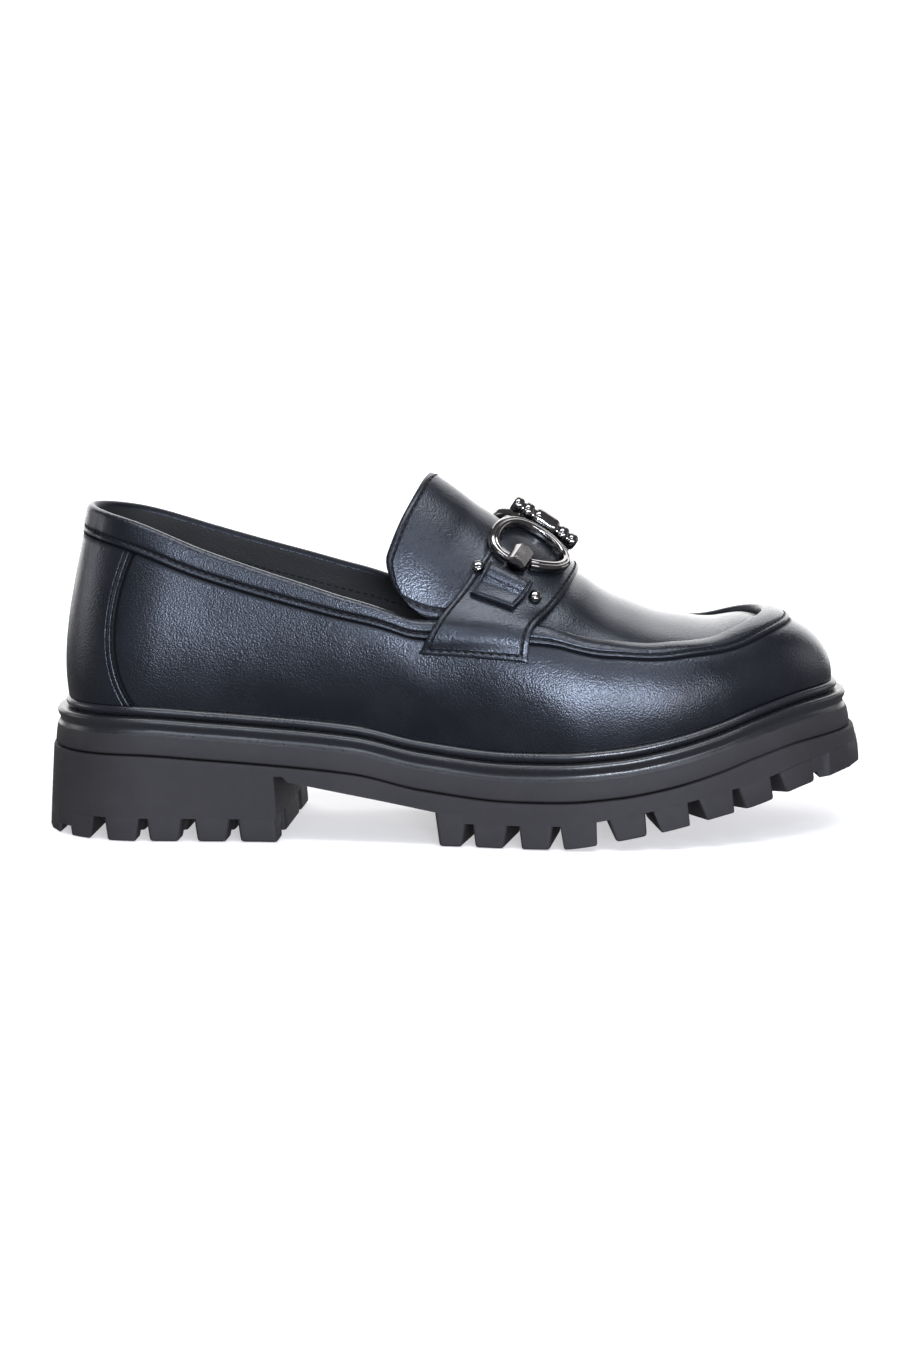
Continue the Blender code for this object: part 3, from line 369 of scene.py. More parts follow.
def midsole_top(x):
    along = share_of(x)
    heel = (HEEL_STACK - FORE_STACK) * SIDE.at("heel", along)
    return FORE_STACK + heel + TOE_RISE * SIDE.at("rise", along)


def notch_level(x):
    return midsole_top(x) - MIDSOLE_HEIGHT


def tread_level(x):
    """Height of the tread: 0 on the floor, rising to the toe."""
    return TOE_SPRING * SIDE.at("spring", share_of(x))


def flare_at(w):
    return PLAN.at("flare", along_of(w)[0])


UPPER_INSET = WELT_MARGIN + WELT_PROUD
UPPER_BASE = WELT_HEIGHT + 2 * GAP
WELT_INNER = UPPER_INSET + UPPER_WALL + GAP


def edge_point(w, depth, height):
    """A point inside the midsole's top edge by depth and over its top by height."""
    xy, outward = plan_point(w, SOLE_FLARE * flare_at(w) + depth)
    return stack(xy[..., 0], xy[..., 1], midsole_top(xy[..., 0]) + height), outward


def feather_point(w):
    """Where the upper's outside meets the sole, and its outward direction there."""
    point, outward = edge_point(w, UPPER_INSET, UPPER_BASE)
    return point, stack(outward[..., 0], outward[..., 1], 0.0)


RIM_REAR = float(feather_point(np.array(0.0))[0][0]) + COLLAR_LEAN
RIM_FRONT = float(feather_point(np.array(0.5))[0][0]) - RIM_SETBACK


def rim_x(along):
    return mix(RIM_REAR, RIM_FRONT, along)


def rim_height(along, side):
    base = midsole_top(rim_x(along)) + UPPER_BASE
    back = RIM.at("back", along) + np.where(np.asarray(side) > 0, RIM.at("medial", along), 0)
    return base + BACK_HEIGHT * back + TOE_BOX_HEIGHT * RIM.at("toe", along)


def rim_at(along, side):
    """The upper's rim: the collar behind the throat, the roll round the apron in front."""
    round_off = rounding(along, COLLAR_ROUND, COLLAR_POWER, APRON_ROUND, APRON_POWER)
    y = BALL_WIDTH * (RIM.at("centre", along) + side * RIM.at("half", along) * round_off)
    return stack(rim_x(along), y - PLAN_SHIFT, rim_height(along, side))


def rim_point(w):
    return rim_at(*along_of(w))


def bezier(points, s):
    a, b, c, d = points
    s = col(s)
    return a * (1 - s) ** 3 + b * 3 * s * (1 - s) ** 2 + c * 3 * s * s * (1 - s) + d * s**3


def wall_curve(w):
    """Four handles of the side wall's curve, from the sole up to the rim."""
    along, _ = along_of(w)
    low, outward = feather_point(w)
    high = rim_point(w)
    height = stack(0 * w, 0 * w, high[..., 2] - low[..., 2])
    first = low + outward * col(BALL_WIDTH * WALL.at("low_out", along))
    first = first + height * col(WALL.at("low_up", along))
    second = high + outward * col(BALL_WIDTH * WALL.at("high_out", along))
    second = second - height * col(WALL.at("high_down", along))
    return low, first, second, high


def wall_length(w):
    w = np.asarray(w, float)
    curve = wall_curve(w)
    points = [bezier(curve, np.full(w.shape, s)) for s in np.linspace(0, 1, 13)]
    return sum(np.linalg.norm(b - a, axis=-1) for a, b in zip(points, points[1:]))


def bowed(w, v):
    """Bends the columns near the counter, so that its edge is a bowed line."""
    near = np.where(w <= 0.5, w, 1 - w)
    fall = np.clip(1 - np.abs(near - COUNTER_SEAM) / COUNTER_REACH, 0, None)
    shift = (COUNTER_BOW * 4 * v * (1 - v) + COUNTER_TILT * (2 * v - 1)) * fall * fall * (3 - 2 * fall)
    return np.where(w <= 0.5, w - shift, w + shift)


def wall_point(w, v):
    """A point of the wall's outside: w round the loop, v from the sole up to the rim."""
    w, v = np.broadcast_arrays(np.mod(w, 1.0), v)
    return bezier(wall_curve(bowed(w, v)), v)


def wall_normal(w, v):
    step = 0.003
    around = wall_point(w + step, v) - wall_point(w - step, v)
    up = wall_point(w, np.minimum(1, v + step)) - wall_point(w, np.maximum(0, v - step))
    return unit(np.cross(around, up))


def apron_point(along, q):
    """A point of the apron: q runs from -1 at the outer roll over the crest to 1."""
    along, q = np.broadcast_arrays(np.asarray(along, float), np.asarray(q, float))
    x = rim_x(along) + INSTEP_LEAN * CREST.at("lean", along)
    lateral, medial = rim_at(along, -1), rim_at(along, 1)
    middle = (lateral[..., 1] + medial[..., 1]) / 2
    crest = stack(x, middle, rim_height(along, -1) + INSTEP_RISE * CREST.at("rise", along))
    end = np.where(col(q <= 0), lateral, medial)
    inward = crest[..., 1] - end[..., 1]
    tuck = np.copysign(np.minimum(APRON_TUCK, np.abs(inward)), inward)
    start = end + stack(0 * q, tuck, -APRON_DROP)
    climb = crest - start
    first = start + climb * np.array([0.5, 0.12, 0.52])
    second = crest - climb * np.array([0, 0.52, 0])
    return bezier((start, first, second, crest), 1 - np.abs(q))


def apron_normal(along, q):
    step = 0.004
    across = apron_point(along, np.minimum(1, q + step)) - apron_point(along, np.maximum(-1, q - step))
    forward = apron_point(np.minimum(1, along + step), q) - apron_point(along - step, q)
    return unit(np.cross(forward, across))


# Meshes


def make_mesh(
    name, vertices, faces, materials, face_materials=None, sharp=40.0, merge=1e-6, attributes=None
):
    """A mesh object riding on the shoe. attributes maps a name to one value per point."""
    mesh = bpy.data.meshes.new(name)
    mesh.from_pydata(np.asarray(vertices, float).tolist(), [], [list(map(int, f)) for f in faces])
    for material in materials:
        mesh.materials.append(material)
    if face_materials is not None:
        mesh.polygons.foreach_set("material_index", np.asarray(face_materials, np.int32))
    for key, values in (attributes or {}).items():
        layer = mesh.attributes.new(key, "FLOAT", "POINT")
        layer.data.foreach_set("value", np.asarray(values, np.float32))
    work = bmesh.new()
    work.from_mesh(mesh)
    bmesh.ops.remove_doubles(work, verts=work.verts, dist=merge)
    bmesh.ops.recalc_face_normals(work, faces=work.faces)
    work.to_mesh(mesh)
    work.free()
    obj = bpy.data.objects.new(name, mesh)
    bpy.context.scene.collection.objects.link(obj)
    mesh.shade_smooth()
    if sharp:
        mesh.set_sharp_from_angle(angle=math.radians(sharp))
    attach(obj, "root")
    return obj


def ring_faces(first, second, count):
    i = np.arange(count)
    j = (i + 1) % count
    return np.stack([first + i, first + j, second + j, second + i], -1).tolist()


def tube_faces(levels, count, base=0):
    """The side faces through a number of rings of count points each."""
    faces = []
    for level in range(levels - 1):
        faces += ring_faces(base + level * count, base + (level + 1) * count, count)
    return faces


def strip_cap(first, total):
    """Faces that close a ring of points, from side to side."""
    steps = total // 2
    faces = []
    for i in range(steps):
        corners = [first + i, first + i + 1, first + (total - i - 1) % total, first + (total - i) % total]
        faces.append([c for n, c in enumerate(corners) if c not in corners[:n]])
    return faces


def lofted(name, rings, materials, closed=True, sharp=40.0, attributes=None):
    """A solid through rings of points, with caps, or joined end to end where closed is False."""
    count = len(rings[0])
    vertices = np.concatenate(rings)
    faces = tube_faces(len(rings), count)
    if closed:
        faces += strip_cap(0, count) + strip_cap(count * (len(rings) - 1), count)
    else:
        faces += ring_faces((len(rings) - 1) * count, 0, count)
    return make_mesh(name, vertices, faces, materials, sharp=sharp, attributes=attributes)


def closed_tube(rings):
    """Points and faces through rings of points, with one flat face on each end."""
    count, levels = len(rings[0]), len(rings)
    faces = tube_faces(levels, count)
    faces += [list(range(count))[::-1], list(range(count * (levels - 1), count * levels))]
    return np.concatenate(rings), faces


class Parts:
    """Points and faces of closed forms, gathered for one mesh."""

    def __init__(self):
        self.vertices, self.faces = [], []

    def take(self, vertices, faces):
        base = len(self.vertices)
        self.vertices.extend(vertices)
        self.faces.extend([[i + base for i in face] for face in faces])


def grid_faces(base, rows, columns):
    i, j = np.meshgrid(np.arange(rows - 1), np.arange(columns - 1), indexing="ij")
    a = (base + i * columns + j).ravel()
    return np.stack([a, a + 1, a + columns + 1, a + columns], -1).tolist()


def edge_loop(rows, columns):
    top = [j for j in range(columns)]
    right = [i * columns + columns - 1 for i in range(1, rows)]
    bottom = [(rows - 1) * columns + j for j in range(columns - 2, -1, -1)]
    left = [i * columns for i in range(rows - 2, 0, -1)]
    return top + right + bottom + left


def grid_solid(name, layers, materials, attributes):
    """A closed sheet: layers are grids (rows, columns, 3) from the outside to the inside; only the
    first and the last are filled, and the ones between round its edge. attributes maps a name to
    (values on the first layer, one value for the rest)."""
    rows, columns = layers[0].shape[:2]
    size = rows * columns
    loop = edge_loop(rows, columns)
    vertices = [layers[0].reshape(-1, 3)]
    faces = grid_faces(0, rows, columns)
    starts = [np.array(loop)]
    total = size
    for layer in layers[1:-1]:
        flat = layer.reshape(-1, 3)[loop]
        vertices.append(flat)
        starts.append(total + np.arange(len(loop)))
        total += len(loop)
    vertices.append(layers[-1].reshape(-1, 3))
    faces += grid_faces(total, rows, columns)
    starts.append(total + np.array(loop))
    for a, b in zip(starts, starts[1:]):
        n = np.roll(np.arange(len(loop)), -1)
        faces += np.stack([a, a[n], b[n], b], -1).tolist()
    points = np.concatenate(vertices)
    values = {}
    for key, (front, rest) in attributes.items():
        values[key] = np.concatenate([np.asarray(front).ravel(), np.full(len(points) - size, rest)])
    return make_mesh(name, points, faces, materials, attributes=values)


FAR = 20.0  # mm, what the edge and seam attributes hold away from every row of stitches
EDGE_SINK = (1.0, 0.42, 0.12, 0.0)  # of a rounded edge's radius, at its outer four columns
EDGE_PLACES = (0.0, 0.12, 0.45)  # of an edge's margin, where its three outer columns lie


def steps_from_rim(count):
    """How many steps each of a number of columns lies from the nearer end."""
    return np.minimum(np.arange(count), np.arange(count)[::-1])


def rounded_sheet(name, surface, normal, us, vs, wall, radius, from_edge):
    """A leather sheet with rounded edges. surface, normal and from_edge, metres to the edge, take grids
    of places; wall is its thickness."""
    u, v = np.meshgrid(us, vs, indexing="ij")
    base, up = surface(u, v), normal(u, v)
    edge = np.minimum(steps_from_rim(len(us))[:, None], steps_from_rim(len(vs))[None, :])
    sink = np.choose(np.minimum(edge, 3), EDGE_SINK)
    top = base + up * col(wall - radius * sink)
    under = base + up * col(radius * 0.4 * sink)
    middle = base + up * (wall * 0.5)
    return grid_solid(name, [top, middle, under], [LEATHER], {"edge": (from_edge(u, v) / MM, FAR)})


def edge_spaced(low, high, count, margin):
    """Places from low to high with three close ones at each end for a rounded edge."""
    close = margin * np.array(EDGE_PLACES)
    inner = np.linspace(low + margin, high - margin, count)
    return np.concatenate([low + close, inner, high - close[::-1]])


# Materials


class Nodes:
    """Builds one material's nodes."""

    def __init__(self, name):
        self.material = bpy.data.materials.new(name)
        self.material.use_nodes = True
        self.tree = self.material.node_tree
        self.shader = self.tree.nodes["Principled BSDF"]

    def link(self, output, socket):
        self.tree.links.new(output, socket)

    def put(self, value, socket):
        """Links an output to a socket, or sets a constant number or colour on it."""
        if hasattr(value, "node"):
            self.link(value, socket)
        elif socket.type == "RGBA" and len(value) == 3:
            socket.default_value = (*value, 1)
        else:
            socket.default_value = value

    def add(self, kind, **inputs):
        node = self.tree.nodes.new(kind)
        for key, value in inputs.items():
            self.put(value, node.inputs[key.replace("_", " ")])
        return node

    def vector_math(self, operation, *inputs):
        node = self.tree.nodes.new("ShaderNodeVectorMath")
        node.operation = operation
        for value, socket in zip(inputs, node.inputs):
            self.put(value, socket)
        return node

    def coords(self):
        return self.add("ShaderNodeTexCoord").outputs["Object"]

    def noise(self, scale, detail=2.0, rough=0.5, vector=None):
        node = self.add("ShaderNodeTexNoise", Scale=scale, Detail=detail, Roughness=rough)
        self.link(vector or self.coords(), node.inputs["Vector"])
        return node.outputs["Fac"]

    def voronoi(self, scale, feature="F1", smoothness=None, vector=None):
        node = self.tree.nodes.new("ShaderNodeTexVoronoi")
        node.feature = feature
        node.inputs["Scale"].default_value = scale
        if smoothness is not None:
            node.inputs["Smoothness"].default_value = smoothness
        self.link(vector or self.coords(), node.inputs["Vector"])
        return node.outputs["Distance"]

    def math(self, operation, a, b=None, clamp=False):
        node = self.tree.nodes.new("ShaderNodeMath")
        node.operation = operation
        node.use_clamp = clamp
        self.put(a, node.inputs[0])
        if b is not None:
            self.put(b, node.inputs[1])
        return node.outputs[0]

    def spread(self, value, low, high, to_low, to_high):
        node = self.tree.nodes.new("ShaderNodeMapRange")
        self.link(value, node.inputs["Value"])
        for key, number in (("From Min", low), ("From Max", high), ("To Min", to_low), ("To Max", to_high)):
            node.inputs[key].default_value = number
        return node.outputs["Result"]

    def blend(self, share, a, b):
        node = self.tree.nodes.new("ShaderNodeMix")
        node.data_type = "RGBA"
        self.link(share, node.inputs["Factor"])
        self.put(a, node.inputs[6])
        self.put(b, node.inputs[7])
        return node.outputs[2]

    def attribute(self, name):
        node = self.tree.nodes.new("ShaderNodeAttribute")
        node.attribute_name = name
        return node.outputs["Fac"]

    def bump(self, height, distance, strength=1.0, normal=None):
        node = self.add("ShaderNodeBump", Height=height, Distance=distance, Strength=strength)
        if normal is not None:
            self.link(normal, node.inputs["Normal"])
        return node.outputs["Normal"]

    def finish(self, colour, roughness, normal=None, **others):
        """Sets the shader's colour, roughness and normal, and any other of its inputs by name."""
        self.put(colour, self.shader.inputs["Base Color"])
        self.put(roughness, self.shader.inputs["Roughness"])
        if normal is not None:
            self.link(normal, self.shader.inputs["Normal"])
        for key, value in others.items():
            self.put(value, self.shader.inputs[key.replace("_", " ")])
        return self.material


STITCH_INSET = 0.0020  # from a stitched edge to its row of stitches
COUNTER_ROWS = (0.0015, 0.0043)  # from the counter's edge back to its two rows
ROW_CORE, ROW_REACH = 0.16, 0.62  # mm from a row's middle, where it is deepest and where it ends
ROW_DEPTH = 0.00022
# share of painted shade along a row of stitches
ROW_SHADE = 0.5
# painted shade colour for seams, grooves, overlapped edges and rows of stitches
CREVICE_SHADE_COLOUR = (0.002, 0.002, 0.003)
PEBBLE_WARP = 0.0007  # how far the pebbles' pattern is pushed about, so that it isn't even
DIELECTRIC = 1.5


def leather_material(name, colour, lighter, roughness, grain, pebble):
    """Smooth calf with a fine pebble, drawn down along its rows of stitches.

    The crevice attribute is painted shade: it darkens and dulls seams, grooves and overlapped edges,
    and the rows of stitches get painted shade too. The edge and seam attributes are distances in
    millimetres from a stitched edge and from the counter's edge.
    """
    n = Nodes(name)
    rows = None
    for key, place in (("edge", STITCH_INSET), ("seam", COUNTER_ROWS[0]), ("seam", COUNTER_ROWS[1])):
        away = n.math("ABSOLUTE", n.math("SUBTRACT", n.attribute(key), place / MM))
        row = n.spread(away, ROW_CORE, ROW_REACH, 1.0, 0.0)
        rows = row if rows is None else n.math("MAXIMUM", rows, row)
    # painted shade: the crevice attribute, and the rows of stitches scaled by ROW_SHADE
    crevice_shade = n.math("MAXIMUM", n.attribute("crevice_shade"), n.math("MULTIPLY", rows, ROW_SHADE))
    wobble = n.add("ShaderNodeTexNoise", Scale=420.0, Detail=1.0)
    n.link(n.coords(), wobble.inputs["Vector"])
    push = (PEBBLE_WARP, PEBBLE_WARP, PEBBLE_WARP)
    warp = n.vector_math("MULTIPLY_ADD", wobble.outputs["Color"], push, n.coords())
    cells = n.voronoi(pebble, "SMOOTH_F1", 0.35, warp.outputs[0])
    pores = n.noise(5200.0, 2.0, 0.6)
    mottle = n.noise(55.0, 3.0, 0.55)
    broad = n.noise(16.0, 2.0, 0.5)
    height = n.math("ADD", n.math("MULTIPLY", cells, -1.0), n.math("MULTIPLY", pores, 0.35))
    soft = n.bump(n.noise(150.0, 2.0, 0.5), 0.00008, 0.5, n.bump(rows, -ROW_DEPTH))
    normal = n.bump(height, grain, 1.0, soft)
    shade = n.blend(n.spread(mottle, 0.35, 0.7, 0.0, 1.0), colour, lighter)
    # painted shade: seams, grooves and rows darkened towards the shade colour
    shade = n.blend(crevice_shade, shade, CREVICE_SHADE_COLOUR)
    rough = n.spread(broad, 0.3, 0.7, roughness - 0.04, roughness + 0.05)
    rough = n.math("ADD", rough, n.spread(mottle, 0.3, 0.7, -0.02, 0.03))
    rough = n.math("ADD", rough, n.math("MULTIPLY", crevice_shade, 0.4), clamp=True)
    # painted shade: less shine in seams, grooves and rows
    shine = n.spread(crevice_shade, 0.0, 1.0, 0.5, 0.04)
    tint = (0.80, 0.86, 1.0, 1.0)
    return n.finish(shade, rough, normal, Specular_IOR_Level=shine, IOR=DIELECTRIC, Specular_Tint=tint)


RUBBER_SHINE = 0.16  # the specular level of matt rubber
GLOSS_SHINE = 0.5
GLOSS_COLOUR = (0.0095, 0.0098, 0.0120)


def rubber_material(name, colour, roughness, shine=RUBBER_SHINE, gloss_attribute=False):
    """Moulded rubber. Where the gloss attribute is high, it is polished, with a ragged border."""
    n = Nodes(name)
    broad = n.noise(45.0, 3.0, 0.6)
    scuff = n.noise(420.0, 3.0, 0.65)
    normal = n.bump(n.noise(2600.0, 2.0, 0.6), 0.00004, 0.7, n.bump(n.noise(170.0), 0.0001, 0.4))
    shade = n.blend(n.spread(broad, 0.35, 0.7, 0.0, 1.0), colour, tuple(c * 1.25 for c in colour))
    rough = n.spread(broad, 0.3, 0.7, roughness - 0.05, roughness + 0.06)
    rough = n.math("ADD", rough, n.spread(scuff, 0.4, 0.7, -0.03, 0.04))
    if gloss_attribute:
        ragged = n.math("MULTIPLY", n.noise(260.0, 4.0, 0.65), 0.7)
        mask = n.spread(n.math("ADD", n.attribute("gloss"), ragged), 0.55, 0.90, 0.0, 1.0)
        shade = n.blend(mask, shade, GLOSS_COLOUR)
        streak = n.spread(n.noise(900.0, 3.0, 0.6), 0.3, 0.7, 0.26, 0.40)
        keep = n.math("SUBTRACT", 1.0, mask)
        rough = n.math("ADD", n.math("MULTIPLY", rough, keep), n.math("MULTIPLY", streak, mask))
        shine = n.spread(mask, 0.0, 1.0, shine, GLOSS_SHINE)
    return n.finish(shade, rough, normal, Specular_IOR_Level=shine, IOR=DIELECTRIC)


def metal_material(name, colour, roughness):
    n = Nodes(name)
    haze = n.noise(240.0, 3.0, 0.6)
    normal = n.bump(n.noise(1500.0, 2.0, 0.5), 0.00001, 0.5)
    shade = n.blend(n.spread(haze, 0.3, 0.7, 0.0, 1.0), colour, tuple(c * 0.8 for c in colour))
    return n.finish(shade, n.spread(haze, 0.3, 0.7, roughness, roughness + 0.06), normal, Metallic=1.0)


def lining_material(name, colour):
    n = Nodes(name)
    weave = n.voronoi(1500.0)
    normal = n.bump(weave, 0.00008, 0.8, n.bump(n.noise(90.0, 2.0), 0.0003, 0.5))
    shade = n.blend(n.noise(70.0, 3.0), colour, tuple(c * 1.6 for c in colour))
    rough = n.spread(n.noise(60.0, 2.0), 0.3, 0.7, 0.58, 0.72)
    return n.finish(shade, rough, normal, Specular_IOR_Level=0.3)


def thread_material(name, colour):
    n = Nodes(name)
    strands = n.noise(3500.0, 2.0, 0.6)
    normal = n.bump(strands, 0.00005, 0.8)
    shade = n.blend(n.spread(strands, 0.3, 0.7, 0.0, 1.0), colour, tuple(c * 1.8 for c in colour))
    return n.finish(shade, 0.6, normal, Specular_IOR_Level=0.15)


MATT_BLACK = (0.0180, 0.0168, 0.0186)
LEATHER_COLOURS = ((0.0042, 0.0045, 0.0064), (0.0066, 0.0070, 0.0096))
LEATHER = leather_material("leather", *LEATHER_COLOURS, roughness=0.28, grain=0.000072, pebble=1600.0)
LINING = lining_material("lining", (0.0075, 0.0072, 0.0080))
FOOTBED = lining_material("footbed", (0.010, 0.010, 0.011))
THREAD = thread_material("thread", (0.0028, 0.0028, 0.0036))
RUBBER = rubber_material("rubber", MATT_BLACK, 0.66)
BAND_RUBBER = rubber_material("band_rubber", MATT_BLACK, 0.64, gloss_attribute=True)
WELT_RUBBER = rubber_material("welt_gloss", (0.0085, 0.0088, 0.0115), 0.30, GLOSS_SHINE)
METAL = metal_material("gunmetal", (0.26, 0.25, 0.25), 0.07)

# The sole

AROUND = np.arange(480) / 480


def build_midsole():
    """The platform's band: a polished lip and cove over a matt side that ends in the notch."""
    lip, deep, cove = LIP_HEIGHT, MIDSOLE_HEIGHT, COVE_DEPTH
    # Share of the flare, extra inset, height over the top edge, gloss
    rows = [
        (0.66, NOTCH_DEPTH * 1.1, -deep - NOTCH_HEIGHT * 0.30, 0.0),
        (0.66, NOTCH_DEPTH * 0.8, -deep - NOTCH_HEIGHT * 0.22, 0.0),
        (0.66, NOTCH_DEPTH * 0.25, -deep - NOTCH_HEIGHT * 0.12, 0.0),
        (0.66, NOTCH_DEPTH * 0.05, -deep + NOTCH_HEIGHT * 0.05, 0.0),
        (0.66, 0.0, -deep + NOTCH_HEIGHT * 0.40, 0.0),
        (0.74, 0.0, -deep * 0.72, 0.0),
        (0.82, 0.0, -deep * 0.56, 0.0),
        (0.86, cove * 0.15, -deep * 0.49, 0.15),
        (0.90, cove * 0.6, -deep * 0.42, 0.8),
        (0.94, cove * 1.0, -deep * 0.35, 1.0),
        (0.98, cove * 0.8, -deep * 0.29, 1.0),
        (1.00, cove * 0.2, -lip * 1.95, 1.0),
        (1.00, -lip * 0.12, -lip * 1.55, 1.0),
        (1.00, -lip * 0.24, -lip * 1.05, 1.0),
        (1.00, -lip * 0.20, -lip * 0.60, 1.0),
        (1.00, 0.0, -lip * 0.22, 1.0),
        (1.00, lip * 0.35, -lip * 0.04, 1.0),
        (1.00, lip * 0.90, 0.0, 1.0),
        (1.00, WELT_MARGIN * 1.6, 0.0, 1.0),
    ]
    rings, gloss = [], []
    for share, extra, height, shine in rows:
        inset = SOLE_FLARE * share * flare_at(AROUND) + extra
        xy, _ = plan_point(AROUND, inset)
        rings.append(stack(xy[:, 0], xy[:, 1], midsole_top(xy[:, 0]) + height))
        gloss += [shine] * len(AROUND)
    obj = lofted("midsole_band", rings, [BAND_RUBBER], attributes={"gloss": gloss}, sharp=55)
    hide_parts("midsole")


def build_welt():
    low, high = GAP, GAP + WELT_HEIGHT
    outline = [(WELT_INNER, low), (WELT_MARGIN + WELT_PROUD * 0.5, low)]
    for angle in np.linspace(-70, 100, 12):
        a = math.radians(angle)
        depth = WELT_MARGIN + WELT_PROUD * 0.85 * (1 - math.cos(a))
        height = mix(low, high, 0.5) + WELT_HEIGHT * 0.5 * math.sin(a)
        outline.append((depth, height))
    outline += [(UPPER_INSET - GAP * 0.4, high - GAP), (WELT_INNER, high - GAP)]
    rings = [edge_point(AROUND, depth, height)[0] for depth, height in outline]
    obj = lofted("welt_bead", rings, [WELT_RUBBER], closed=False, sharp=50)
    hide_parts("welt")


def build_insole():
    depth = WELT_INNER + GAP
    rings = [edge_point(AROUND, depth, GAP)[0], edge_point(AROUND, depth, INSOLE_THICKNESS * 0.72)[0]]
    for share in (0.35, 0.7, 1.0):
        inset = INSOLE_THICKNESS * 0.34 * share**1.5
        height = INSOLE_THICKNESS * mix(0.72, 0.98, share**0.6)
        rings.append(edge_point(AROUND, depth + inset, height)[0])
    rings.append(edge_point(AROUND, depth + 0.006, INSOLE_THICKNESS * 0.95)[0])
    rings.append(edge_point(AROUND, depth + 0.016, INSOLE_THICKNESS * 0.86)[0])
    obj = lofted("footbed", rings, [FOOTBED], sharp=60)
    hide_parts("insole")


def wall_inset(x, z):
    """How far the outsole's side lies inside the tread's outline at a height."""
    bottom, top = tread_level(x), notch_level(x)
    share = np.clip((z - bottom) / (top - bottom), 0, 1)
    return SOLE_FLARE * 0.46 * share**1.15


OUTLINE_W = np.arange(4000) / 4000
OUTLINE_XY = plan_point(OUTLINE_W, 0 * OUTLINE_W)[0]
LATERAL = OUTLINE_XY[:2001]
MEDIAL = OUTLINE_XY[2000:][::-1]


def outline_y(x, side, z):
    """y of the outsole's side at x and height z."""
    line = LATERAL if side < 0 else MEDIAL
    order = np.argsort(line[:, 0])
    y = np.interp(x, line[order, 0], line[order, 1])
    flare = PLAN.at("flare", share_of(x))
    return y - side * wall_inset(x, z) * flare


def outline_end(y, front, z):
    """x of the toe's or the heel's outline at y and height z."""
    half = OUTLINE_XY[(OUTLINE_XY[:, 0] > 0.09) if front else (OUTLINE_XY[:, 0] < -0.10)]
    order = np.argsort(half[:, 1])
    x = np.interp(y, half[order, 1], half[order, 0])
    inset = wall_inset(x, z) * PLAN.at("flare", share_of(x))
    return x - inset if front else x + inset


HEEL_TURN = BREAST_SKEW / 2 / (BALL_WIDTH * float(PLAN.at("half", 0.0)))


def tread_slope(x):
    return (tread_level(x + SLOPE_STEP) - tread_level(x - SLOPE_STEP)) / (2 * SLOPE_STEP)


def heel_gap_places(breast):
    number = int((HEEL_LENGTH - HEEL_PITCH) / HEEL_PITCH)
    return [breast - (i + HEEL_FIRST_GAP) * HEEL_PITCH for i in range(number)]


def fore_gap_places(start):
    places, x, travelled = [], start, 0.0
    fine = LUG_PITCH / 40
    while x < SOLE_LENGTH / 2 - LUG_PITCH:
        travelled += math.hypot(fine, float(tread_level(x + fine) - tread_level(x)))
        x += fine
        if travelled >= LUG_PITCH * (FORE_FIRST_GAP + len(places)):
            places.append(x)
    return places


def lateral_edge(x):
    w = place_on_loop(share_of(np.array(x)), -1)
    return -float(plan_point(w, 0.0)[0][1])


def fan_at(x):
    """How far a fore gap whose outer end is at x runs forward for each metre outward."""
    narrowing = (lateral_edge(x - SLOPE_STEP) - lateral_edge(x + SLOPE_STEP)) / (2 * SLOPE_STEP)
    return min(FAN_LIMIT, max(-FAN_LIMIT, narrowing))


def gap_middle(x):
    return x - fan_at(x) * max(0, lateral_edge(x) - FAN_START)


def gap_edge(place, width, sign, turn, fan=0.0):
    """The line of a gap's wall as x(y, up), where up is the height over the tread."""

    def line(y, up):
        half = width / 2 + LUG_GAP_SPREAD / 2 * (1 - up / LUG_DEPTH)
        here = place + turn * y + fan * np.maximum(0, np.abs(y) - FAN_START)
        return here + sign * half - tread_slope(here) * up

    return line


def shifted(line, by):
    return lambda y, up: line(y, up) + by


LUG_STEPS = 7  # points along each side of a lug
LUG_LAP = 0.0012  # how far a lug runs up into the sole's body
LAP_SHRINK = 0.94
LUG_EDGE = math.radians(38)  # edges that turn by more are rounded
FILL_ROUND = 0.0003


